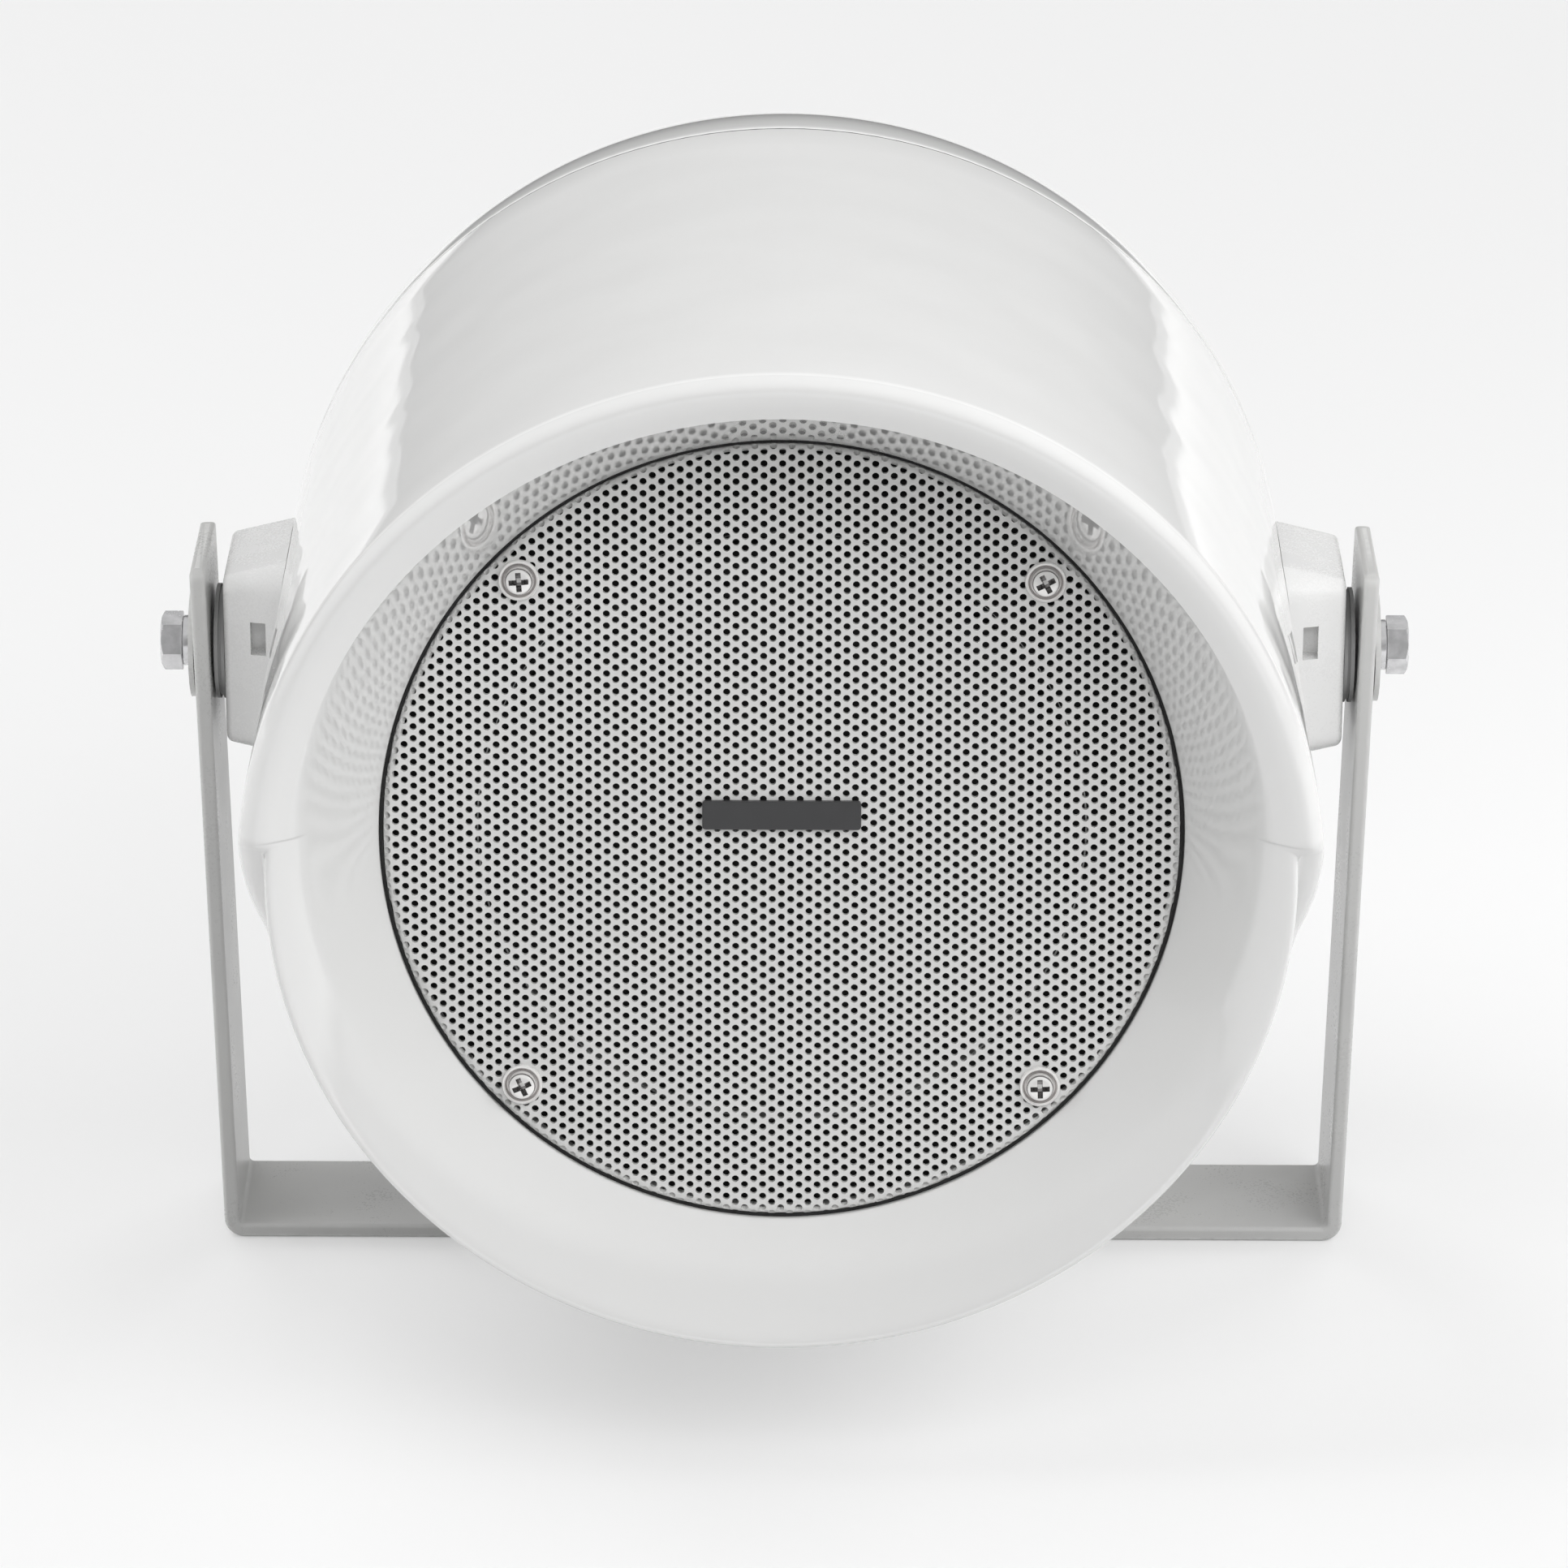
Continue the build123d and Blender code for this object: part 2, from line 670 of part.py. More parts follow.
# Steel clamps that hold the core to the cover's posts
with BuildPart() as transformer_clamps:
    with BuildSketch(strap_floor):
        with BuildLine():
            Polyline(
                (-strap_reach, -core_back),
                (-strap_reach, strap_sheet - core_back),
                (-strap_side, strap_sheet - core_back),
                (-strap_side, strap_sheet - core_front),
                (strap_side, strap_sheet - core_front),
                (strap_side, strap_sheet - core_back),
                (strap_reach, strap_sheet - core_back),
                (strap_reach, -core_back),
                (strap_side - strap_sheet, -core_back),
                (strap_side - strap_sheet, -core_front),
                (strap_sheet - strap_side, -core_front),
                (strap_sheet - strap_side, -core_back),
                close=True,
            )
        make_face()
    extrude(amount=strap_width / 2, both=True)
    with BuildSketch(behind(core_back)):
        with Locations(*strap_screw_points):
            Circle(grille_screw_radius + hole_gap)
    extrude(amount=-2 * strap_sheet, mode=Mode.SUBTRACT)
    with BuildSketch(behind(core_front)):
        Rectangle(core_leg + 2 * coil_build + wall, strap_width + wall)
    extrude(amount=-2 * strap_sheet, mode=Mode.SUBTRACT)
transformer_clamps.part.label = "transformer_clamps"
export_step(transformer_clamps.part, "parts/transformer_clamps.step")

with BuildPart() as transformer_screws:
    with BuildSketch(behind(core_back - strap_sheet - seat_gap)):
        with Locations(*strap_screw_points):
            Circle(grille_screw_dome)
    extrude(amount=-screw_head_height)
    with BuildSketch(behind(core_back - strap_sheet - seat_gap)):
        with Locations(*strap_screw_points):
            Circle(grille_screw_radius)
    extrude(amount=strap_screw_depth)
transformer_screws.part.label = "transformer_screws"
export_step(transformer_screws.part, "parts/transformer_screws.step")

# Terminal board on the front of the winding
with BuildPart() as terminal_board:
    with BuildSketch(ahead(coil_build - core_front + seat_gap)):
        RectangleRounded(board_width, board_height, board_round)
    extrude(amount=board_thickness)
terminal_board.part.label = "terminal_board"
export_step(terminal_board.part, "parts/terminal_board.step")

with BuildPart() as terminal_tags:
    with BuildSketch(ahead(coil_build - core_front + board_thickness + 2 * seat_gap)):
        with GridLocations(tag_pitch, board_height / 2, tag_columns, 2):
            Rectangle(tag_width, tag_thickness)
    extrude(amount=tag_length)
terminal_tags.part.label = "terminal_tags"
export_step(terminal_tags.part, "parts/terminal_tags.step")

# Pivot blocks, inserts, discs, washers and bolts on both sides
for side, hand in ((-1, "left"), (1, "right")):
    with BuildPart() as pivot_block:
        with BuildSketch(outward(side, block_face)):
            with Locations((side * block_offset, 0)):
                RectangleRounded(block_length, block_height, block_round)
        extrude(amount=-block_root, taper=-block_draft)
        outer_edges = pivot_block.faces().sort_by(Axis.X)[0 if side < 0 else -1].edges()
        fillet(outer_edges, block_round / 2)
        with BuildSketch(behind(seam_behind)):
            Circle(barrel_radius + seat_gap)
        extrude(amount=-rim_ahead, mode=Mode.SUBTRACT)
        with BuildSketch(outward(side, 0)):
            Circle(insert_radius + seat_gap)
        extrude(amount=bracket_width, mode=Mode.SUBTRACT)
        with BuildSketch(outward(side, 0)):
            with Locations((0, -block_screw_offset), (0, block_screw_offset)):
                Circle(grille_screw_radius + seat_gap)
        extrude(amount=block_screw_end, mode=Mode.SUBTRACT)
        with BuildSketch(ahead(block_ahead - slot_depth)):
            with Locations((side * (block_face - slot_inset), slot_rise)):
                Rectangle(slot_width, slot_height)
        extrude(amount=block_length, mode=Mode.SUBTRACT)
    pivot_block.part.label = hand + "_pivot_block"
    export_step(pivot_block.part, "parts/" + hand + "_pivot_block.step")

    with BuildPart() as pivot_insert:
        with BuildSketch(outward(side, barrel_radius + hole_gap)):
            Circle(insert_radius)
            Circle(bolt_radius + seat_gap, mode=Mode.SUBTRACT)
        extrude(amount=block_face - barrel_radius - 2 * hole_gap)
    pivot_insert.part.label = hand + "_pivot_insert"
    export_step(pivot_insert.part, "parts/" + hand + "_pivot_insert.step")

    with BuildPart() as friction_disc:
        with BuildSketch(outward(side, block_face + seat_gap)):
            Circle(disc_radius)
            Circle(bolt_radius + hole_gap, mode=Mode.SUBTRACT)
        extrude(amount=disc_face - block_face - seat_gap)
        with BuildSketch(outward(side, (block_face + disc_face) / 2 - disc_groove / 2)):
            Circle(disc_radius + wall)
            Circle(disc_radius - disc_groove, mode=Mode.SUBTRACT)
        extrude(amount=disc_groove, mode=Mode.SUBTRACT)
    friction_disc.part.label = hand + "_friction_disc"
    export_step(friction_disc.part, "parts/" + hand + "_friction_disc.step")

    with BuildPart() as flat_washer:
        with BuildSketch(outward(side, flat_washer_face)):
            Circle(flat_washer_radius)
            Circle(bolt_radius + hole_gap, mode=Mode.SUBTRACT)
        extrude(amount=flat_washer_thickness)
    flat_washer.part.label = hand + "_flat_washer"
    export_step(flat_washer.part, "parts/" + hand + "_flat_washer.step")

    with BuildPart() as spring_washer:
        with BuildSketch(outward(side, washer_face)):
            Circle(spring_washer_radius)
            Circle(bolt_radius + hole_gap, mode=Mode.SUBTRACT)
            with Locations((0, -spring_washer_radius)):
                Rectangle(washer_split, spring_washer_radius, mode=Mode.SUBTRACT)
        extrude(amount=spring_washer_thickness)
    spring_washer.part.label = hand + "_spring_washer"
    export_step(spring_washer.part, "parts/" + hand + "_spring_washer.step")

    with BuildPart() as pivot_bolt:
        with BuildSketch(outward(side, bolt_face)):
            RegularPolygon(bolt_flats / 2, 6, major_radius=False, rotation=30)
        extrude(amount=bolt_head)
        with BuildSketch(outward(side, bolt_face + bolt_head)):
            Circle(bolt_flats)
        extrude(amount=-bolt_head, taper=-bolt_bevel, mode=Mode.INTERSECT)
        with BuildSketch(outward(side, bolt_tip)):
            Circle(bolt_radius)
        extrude(amount=bolt_length)
    pivot_bolt.part.label = hand + "_pivot_bolt"
    export_step(pivot_bolt.part, "parts/" + hand + "_pivot_bolt.step")

    with BuildPart() as block_screws:
        with BuildSketch(outward(side, block_screw_seat)):
            with Locations((0, -block_screw_offset), (0, block_screw_offset)):
                Circle(grille_screw_dome)
        extrude(amount=-screw_head_height)
        with BuildSketch(outward(side, block_screw_seat)):
            with Locations((0, -block_screw_offset), (0, block_screw_offset)):
                Circle(grille_screw_radius)
        extrude(amount=block_screw_end - block_screw_seat - hole_gap)
    block_screws.part.label = hand + "_block_screws"
    export_step(block_screws.part, "parts/" + hand + "_block_screws.step")

# Grille: a shallow perforated pan turned back at its edge
with BuildPart() as grille:
    with BuildSketch(driver_section):
        with BuildLine():
            Line((0, 0), (grille_radius - grille_round, 0))
            RadiusArc((grille_radius - grille_round, 0), (grille_radius, -grille_round), grille_round)
            Line((grille_radius, -grille_round), (grille_radius, seat_gap - grille_depth))
            Line((grille_radius, seat_gap - grille_depth), (grille_inside, seat_gap - grille_depth))
            Line((grille_inside, seat_gap - grille_depth), (grille_inside, -grille_sheet))
            Line((grille_inside, -grille_sheet), (0, -grille_sheet))
            Line((0, -grille_sheet), (0, 0))
        make_face()
    revolve(axis=driver_axis)
    with BuildSketch(grille_face):
        with Locations(*grille_screw_points):
            Circle(grille_screw_radius + hole_gap)
        with Locations(*perforation_points):
            RegularPolygon(perforation_radius, 6)
    extrude(amount=-2 * grille_sheet, mode=Mode.SUBTRACT)
grille.part.label = "grille"
export_step(grille.part, "parts/grille.step")

# Flanged screws of the grille, with cross recesses
with BuildPart() as grille_screws:
    with BuildSketch(grille_level(seat_gap)):
        with Locations(*grille_screw_points):
            Circle(grille_screw_flange)
    extrude(amount=screw_flange_thickness)
    with BuildSketch(grille_level(seat_gap + screw_flange_thickness)):
        with Locations(*grille_screw_points):
            Circle(grille_screw_dome)
    extrude(amount=screw_dome_height, taper=screw_dome_taper)
    with BuildSketch(grille_level(seat_gap)):
        with Locations(*grille_screw_points):
            Circle(grille_screw_radius)
    extrude(amount=-(grille_depth + baffle_thickness))
    with BuildSketch(grille_level(seat_gap + screw_flange_thickness + screw_dome_height)):
        with Locations(*grille_screw_points):
            Rectangle(2 * cross_reach, cross_width)
            Rectangle(cross_width, 2 * cross_reach)
    extrude(amount=-cross_depth, mode=Mode.SUBTRACT)
grille_screws.part.label = "grille_screws"
export_step(grille_screws.part, "parts/grille_screws.step")

# Blank badge plate on the grille
with BuildPart() as badge_plate:
    with BuildSketch(grille_level(seat_gap)):
        with Locations((0, badge_rise)):
            RectangleRounded(badge_width, badge_height, badge_round)
    extrude(amount=badge_thickness)
badge_plate.part.label = "badge_plate"
export_step(badge_plate.part, "parts/badge_plate.step")

# Driver basket of pressed sheet, with four windows
with BuildPart() as driver_basket:
    with BuildSketch(driver_section):
        with BuildLine():
            Polyline(
                (basket_radius, basket_front),
                (basket_radius, basket_flange_back),
                (roll_outer + basket_sheet, basket_flange_back),
                (basket_waist + basket_sheet, plate_front),
                (gap_radius, plate_front),
                (gap_radius, basket_floor),
                (basket_waist, basket_floor),
                (roll_outer, basket_flange_back),
                (roll_outer, basket_front),
                close=True,
            )
        make_face()
    revolve(axis=driver_axis)
    with BuildSketch(grille_level(window_front)):
        with PolarLocations(window_circle, 4, start_angle=45):
            Rectangle(basket_waist, window_width)
    extrude(amount=-window_height, mode=Mode.SUBTRACT)
    with BuildSketch(grille_level(basket_front)):
        with Locations(*driver_screw_points):
            Circle(grille_screw_radius + hole_gap)
    extrude(amount=-2 * basket_sheet, mode=Mode.SUBTRACT)
driver_basket.part.label = "driver_basket"
export_step(driver_basket.part, "parts/driver_basket.step")

with BuildPart() as driver_gasket:
    with BuildSketch(grille_level(basket_front + seat_gap)):
        Circle(basket_radius - hole_gap)
        Circle(driver_opening_radius + hole_gap, mode=Mode.SUBTRACT)
        with Locations(*driver_screw_points):
            Circle(grille_screw_radius + hole_gap, mode=Mode.SUBTRACT)
    extrude(amount=gasket_thickness - 2 * seat_gap)
driver_gasket.part.label = "driver_gasket"
export_step(driver_gasket.part, "parts/driver_gasket.step")

with BuildPart() as driver_screws:
    with BuildSketch(grille_level(basket_flange_back - seat_gap)):
        with Locations(*driver_screw_points):
            Circle(grille_screw_dome)
    extrude(amount=-screw_head_height)
    with BuildSketch(grille_level(basket_flange_back - seat_gap)):
        with Locations(*driver_screw_points):
            Circle(grille_screw_radius)
    extrude(amount=baffle_thickness / 2 + gasket_thickness + basket_sheet)
driver_screws.part.label = "driver_screws"
export_step(driver_screws.part, "parts/driver_screws.step")

# Magnet system: front plate, ferrite ring, and yoke with pole piece
with BuildPart() as top_plate:
    with BuildSketch(grille_level(plate_front - seat_gap)):
        Circle(plate_radius)
        Circle(gap_radius, mode=Mode.SUBTRACT)
    extrude(amount=-(plate_thickness - seat_gap))
top_plate.part.label = "top_plate"
export_step(top_plate.part, "parts/top_plate.step")

with BuildPart() as magnet:
    with BuildSketch(grille_level(magnet_front - seat_gap)):
        Circle(magnet_radius)
        Circle(magnet_bore, mode=Mode.SUBTRACT)
    extrude(amount=-(magnet_thickness - seat_gap))
magnet.part.label = "magnet"
export_step(magnet.part, "parts/magnet.step")

with BuildPart() as yoke:
    with BuildSketch(grille_level(yoke_front - seat_gap)):
        Circle(plate_radius)
    extrude(amount=-(plate_thickness - seat_gap))
    with BuildSketch(grille_level(yoke_front - plate_thickness / 2)):
        Circle(pole_radius)
    extrude(amount=plate_front - yoke_front + plate_thickness / 2)
yoke.part.label = "yoke"
export_step(yoke.part, "parts/yoke.step")

# Moving cone, dust cap and voice coil, with their surround and spider
with BuildPart() as cone:
    with BuildSketch(driver_section):
        with BuildLine():
            Polyline(
                (roll_inner, basket_front - seat_gap),
                (surround_inner, basket_front - seat_gap),
                (cone_neck, neck_front),
                (cone_neck, neck_front - cone_sheet),
                (surround_inner, basket_front - seat_gap - cone_sheet),
                (roll_inner, basket_front - seat_gap - cone_sheet),
                close=True,
            )
        make_face()
    revolve(axis=driver_axis)
cone.part.label = "cone"
export_step(cone.part, "parts/cone.step")

with BuildPart() as dust_cap:
    with BuildSketch(driver_section):
        with BuildLine():
            RadiusArc((cap_radius, cap_front), (0, cap_front + cap_rise), -cap_curve)
            Line((0, cap_front + cap_rise), (0, cap_front + cap_rise - cone_sheet))
            RadiusArc(
                (0, cap_front + cap_rise - cone_sheet),
                (cap_radius - cone_sheet, cap_front),
                cap_curve - cone_sheet,
            )
            Line((cap_radius - cone_sheet, cap_front), (cap_radius, cap_front))
        make_face()
    revolve(axis=driver_axis)
dust_cap.part.label = "dust_cap"
export_step(dust_cap.part, "parts/dust_cap.step")

with BuildPart() as voice_coil:
    with BuildSketch(driver_section):
        with BuildLine():
            Polyline(
                (coil_radius, neck_front - cone_sheet),
                (cone_neck - seat_gap, neck_front - cone_sheet),
                (cone_neck - seat_gap, plate_front + wall),
                (coil_radius + coil_thickness, plate_front + wall),
                (coil_radius + coil_thickness, plate_front - plate_thickness - wall),
                (coil_radius, plate_front - plate_thickness - wall),
                close=True,
            )
        make_face()
    revolve(axis=driver_axis)
voice_coil.part.label = "voice_coil"
export_step(voice_coil.part, "parts/voice_coil.step")

with BuildPart() as surround:
    with BuildSketch(driver_section):
        with BuildLine():
            Line((surround_outer, basket_front), (roll_outer - roll_sheet, basket_front))
            ThreePointArc(
                (roll_outer - roll_sheet, basket_front),
                (roll_middle, basket_front + roll_height - roll_sheet),
                (roll_inner + roll_sheet, basket_front),
            )
            Line((roll_inner + roll_sheet, basket_front), (surround_inner, basket_front))
            Line((surround_inner, basket_front), (surround_inner, basket_front + roll_sheet))
            Line((surround_inner, basket_front + roll_sheet), (roll_inner, basket_front + roll_sheet))
            ThreePointArc(
                (roll_inner, basket_front + roll_sheet),
                (roll_middle, basket_front + roll_height),
                (roll_outer, basket_front + roll_sheet),
            )
            Line((roll_outer, basket_front + roll_sheet), (surround_outer, basket_front + roll_sheet))
            Line((surround_outer, basket_front + roll_sheet), (surround_outer, basket_front))
        make_face()
    revolve(axis=driver_axis)
surround.part.label = "surround"
export_step(surround.part, "parts/surround.step")

with BuildPart() as spider:
    with BuildSketch(driver_section):
        with BuildLine():
            Polyline(
                (spider_inner, spider_level),
                (spider_inner, spider_level - roll_sheet),
                (spider_fold_inner, spider_level - roll_sheet),
                (spider_fold_middle, spider_level - roll_sheet - spider_fold),
                (spider_fold_outer, spider_level - roll_sheet),
                (spider_outer, spider_level - roll_sheet),
                (spider_outer, spider_level),
                (spider_fold_outer, spider_level),
                (spider_fold_middle, spider_level - spider_fold),
                (spider_fold_inner, spider_level),
                close=True,
            )
        make_face()
    revolve(axis=driver_axis)
spider.part.label = "spider"
export_step(spider.part, "parts/spider.step")
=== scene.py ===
from math import asin, atan2, cos, hypot, pi, radians, sin, sqrt, tan

import bmesh
import bpy
from mathutils import Matrix, Vector
from mathutils.geometry import delaunay_2d_cdt


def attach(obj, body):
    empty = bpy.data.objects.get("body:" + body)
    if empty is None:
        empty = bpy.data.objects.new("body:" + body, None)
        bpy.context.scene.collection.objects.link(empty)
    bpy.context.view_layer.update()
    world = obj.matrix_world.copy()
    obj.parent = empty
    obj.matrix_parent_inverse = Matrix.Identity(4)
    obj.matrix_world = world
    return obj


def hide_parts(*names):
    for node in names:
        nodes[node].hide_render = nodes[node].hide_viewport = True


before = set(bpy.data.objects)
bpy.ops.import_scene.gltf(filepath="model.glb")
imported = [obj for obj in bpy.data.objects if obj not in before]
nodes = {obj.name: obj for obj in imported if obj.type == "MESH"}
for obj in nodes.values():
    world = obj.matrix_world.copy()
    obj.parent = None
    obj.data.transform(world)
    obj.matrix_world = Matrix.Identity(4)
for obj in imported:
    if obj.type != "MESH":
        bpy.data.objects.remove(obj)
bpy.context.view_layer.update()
scene = bpy.context.scene
mm = 0.001
weldDistance, thinEdge = 1e-6, 1e-7  # metres
print("frame loaded:", len(nodes), "nodes")


# small mesh tools

def smoothMin(a, b, soft):
    h = max(soft - abs(a - b), 0.0) / soft
    return min(a, b) - h * h * soft / 4


def ramp(value, low, high):
    t = min(max((value - low) / (high - low), 0.0), 1.0)
    return t * t * (3 - 2 * t)


def shares(count):  # even steps up to 1, without the start
    return [i / count for i in range(1, count + 1)]


def quarterTurns(count):  # even steps up to a right angle, without the start
    return [pi / 2 * share for share in shares(count)]


def bendPoints(start, corner, end, count):  # rounds a corner between two straight runs
    points = []
    for i in range(count + 1):
        t = i / count
        points.append(start * (1 - t) ** 2 + corner * 2 * t * (1 - t) + end * t * t)
    return points


def ringFaces(columns, rows, loop):  # quads over a closed ring of columns
    faces = []
    for k in range(columns):
        following = (k + 1) % columns
        for i in range(rows if loop else rows - 1):
            j = (i + 1) % rows
            faces.append((k * rows + i, following * rows + i, following * rows + j, k * rows + j))
    return faces


def loftFaces(levels, around):  # closed sections in a row, capped at both ends
    faces = []
    for i in range(levels - 1):
        for k in range(around):
            j = (k + 1) % around
            faces.append((i * around + k, i * around + j, (i + 1) * around + j, (i + 1) * around + k))
    faces.append(tuple(range(around))[::-1])
    faces.append(tuple(range((levels - 1) * around, levels * around)))
    return faces


def shifted(faces, start):  # the same faces for points that follow others
    return [tuple(v + start for v in face) for face in faces]


def revolveAbout(profile, count, loop=False):  # profile of (radius, height) turned about local Z
    points = []
    for k in range(count):
        turn = 2 * pi * k / count
        for radius, height in profile:
            points.append(Vector((radius * cos(turn), radius * sin(turn), height)))
    return points, ringFaces(count, len(profile), loop)


def smoothFaces(mesh, crease):  # smooth shading, sharp where the surface turns more than the crease
    for face in mesh.polygons:
        face.use_smooth = True
    mesh.set_sharp_from_angle(angle=radians(crease))


def meshFrom(name, points, faces, crease):
    mesh = bpy.data.meshes.new(name)
    mesh.from_pydata([tuple(p * mm) for p in points], [], faces)
    work = bmesh.new()
    work.from_mesh(mesh)
    bmesh.ops.remove_doubles(work, verts=work.verts, dist=weldDistance)
    bmesh.ops.dissolve_degenerate(work, edges=work.edges, dist=thinEdge)
    bmesh.ops.recalc_face_normals(work, faces=work.faces)
    work.to_mesh(mesh)
    work.free()
    smoothFaces(mesh, crease)
    return mesh


def addObject(name, mesh, place=None):
    obj = bpy.data.objects.new(name, mesh)
    scene.collection.objects.link(obj)
    if place is not None:
        obj.matrix_world = place
    return obj


def cutAway(obj, cutters, crease):  # takes the cutters out of a piece and drops them
    for cutter in cutters:
        step = obj.modifiers.new("cut", "BOOLEAN")
        step.operation = "DIFFERENCE"
        step.solver = "EXACT"
        step.object = cutter
    bpy.context.view_layer.update()
    done = bpy.data.meshes.new_from_object(obj.evaluated_get(bpy.context.evaluated_depsgraph_get()))
    obj.modifiers.clear()
    obj.data = done
    for cutter in cutters:
        bpy.data.objects.remove(cutter)
    smoothFaces(done, crease)


def flatNormals(obj):  # wide flats keep their own shading beside small rounds
    step = obj.modifiers.new("faceNormals", "WEIGHTED_NORMAL")
    step.keep_sharp = True
    step.weight = 60


def dress(obj, finish, slotName, body, *replaced):
    obj.data.materials.clear()
    obj.data.materials.append(finish)
    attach(obj, body)
    if replaced:
        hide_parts(*replaced)
    print("piece", obj.name, len(obj.data.polygons), "faces")
    return obj


# shader groups shared by the finishes

def newGroup(name, inputs, outputs):
    tree = bpy.data.node_groups.new(name, "ShaderNodeTree")
    for label, kind, value in inputs:
        socket = tree.interface.new_socket(name=label, in_out="INPUT", socket_type=kind)
        socket.default_value = value
    for label, kind in outputs:
        tree.interface.new_socket(name=label, in_out="OUTPUT", socket_type=kind)
    return tree, tree.nodes.new("NodeGroupInput"), tree.nodes.new("NodeGroupOutput")


def addNode(tree, kind, inputs=None, **settings):
    node = tree.nodes.new(kind)
    for key, value in settings.items():
        setattr(node, key, value)
    for key, value in (inputs or {}).items():
        if isinstance(value, bpy.types.NodeSocket):
            tree.links.new(value, node.inputs[key])
        else:
            node.inputs[key].default_value = value
    return node


def mathNode(tree, operation, a, b, clamp=False):
    return addNode(tree, "ShaderNodeMath", {0: a, 1: b}, operation=operation, use_clamp=clamp).outputs[0]


def mixColour(tree, factor, a, b):
    return addNode(tree, "ShaderNodeMix", {0: factor, 6: a, 7: b}, data_type="RGBA").outputs[2]


def mapValue(tree, value, fromLow, fromHigh, toLow=0.0, toHigh=1.0):
    node = addNode(tree, "ShaderNodeMapRange", {0: value, 1: fromLow, 2: fromHigh, 3: toLow, 4: toHigh})
    return node.outputs[0]


def objectSpot(tree):
    return addNode(tree, "ShaderNodeTexCoord").outputs["Object"]


def stretchedSpot(tree, across, along):
    stretch = addNode(tree, "ShaderNodeCombineXYZ", {0: across, 1: along, 2: 1.0}).outputs[0]
    return addNode(tree, "ShaderNodeVectorMath", {0: objectSpot(tree), 1: stretch}, operation="MULTIPLY").outputs[0]


def noiseNode(tree, spot, scale, detail, rough=0.5):
    return addNode(tree, "ShaderNodeTexNoise",
                   {"Vector": spot, "Scale": scale, "Detail": detail, "Roughness": rough}).outputs[0]


def seenDirectly(tree):  # 1 where the camera, a mirror or glass looks at it
    path = addNode(tree, "ShaderNodeLightPath").outputs
    return mathNode(tree, "MAXIMUM", path["Is Camera Ray"],
                    mathNode(tree, "MAXIMUM", path["Is Glossy Ray"], path["Is Transmission Ray"]))


floatSocket, colourSocket = "NodeSocketFloat", "NodeSocketColor"

# slow change of tone over a moulding or a paint coat
toneDrift, groupIn, groupOut = newGroup(
    "toneDrift",
    [("Tone", colourSocket, (0.8, 0.8, 0.8, 1)), ("Other Tone", colourSocket, (0.7, 0.7, 0.7, 1)),
     ("Scale", floatSocket, 12.0)],
    [("Colour", colourSocket)],
)
cloud = noiseNode(toneDrift, objectSpot(toneDrift), groupIn.outputs["Scale"], 3.0, 0.55)
drifted = mixColour(toneDrift, mapValue(toneDrift, cloud, 0.32, 0.68),
                    groupIn.outputs["Tone"], groupIn.outputs["Other Tone"])
toneDrift.links.new(drifted, groupOut.inputs["Colour"])

# fine grain for gloss and relief
surfaceGrain, groupIn, groupOut = newGroup(
    "surfaceGrain",
    [("Scale", floatSocket, 900.0), ("Smooth Gloss", floatSocket, 0.2), ("Dull Gloss", floatSocket, 0.35)],
    [("Roughness", floatSocket), ("Height", floatSocket)],
)
spot = objectSpot(surfaceGrain)
grain = noiseNode(surfaceGrain, spot, groupIn.outputs["Scale"], 2.0, 0.6)
patchScale = mathNode(surfaceGrain, "MULTIPLY", groupIn.outputs["Scale"], 0.035)
patch = noiseNode(surfaceGrain, spot, patchScale, 2.0)
blend = mathNode(surfaceGrain, "ADD", mathNode(surfaceGrain, "MULTIPLY", grain, 0.5),
                 mathNode(surfaceGrain, "MULTIPLY", patch, 0.5))
gloss = mapValue(surfaceGrain, blend, 0.35, 0.65, groupIn.outputs["Smooth Gloss"], groupIn.outputs["Dull Gloss"])
surfaceGrain.links.new(gloss, groupOut.inputs["Roughness"])
surfaceGrain.links.new(grain, groupOut.inputs["Height"])

# shallow waves left by the mould, longer along one axis
mouldRipple, groupIn, groupOut = newGroup(
    "mouldRipple",
    [("Scale", floatSocket, 40.0), ("Along", floatSocket, 0.4)],
    [("Height", floatSocket)],
)
laid = stretchedSpot(mouldRipple, 1.0, groupIn.outputs["Along"])
wave = noiseNode(mouldRipple, laid, groupIn.outputs["Scale"], 0.5, 0.4)
mouldRipple.links.new(wave, groupOut.inputs["Height"])

# lighter edges, from how far the surface bulges: rubbed wear on the gland, a painted highlight on the bracket
edgeRub, groupIn, groupOut = newGroup(
    "edgeRub",
    [("Start", floatSocket, 0.53), ("Full", floatSocket, 0.62)],
    [("Mask", floatSocket)],
)
bulge = addNode(edgeRub, "ShaderNodeNewGeometry").outputs["Pointiness"]
breakUp = noiseNode(edgeRub, objectSpot(edgeRub), 420.0, 3.0)
edge = mapValue(edgeRub, bulge, groupIn.outputs["Start"], groupIn.outputs["Full"])
edgeRub.links.new(mathNode(edgeRub, "MULTIPLY", edge, breakUp, clamp=True), groupOut.inputs["Mask"])

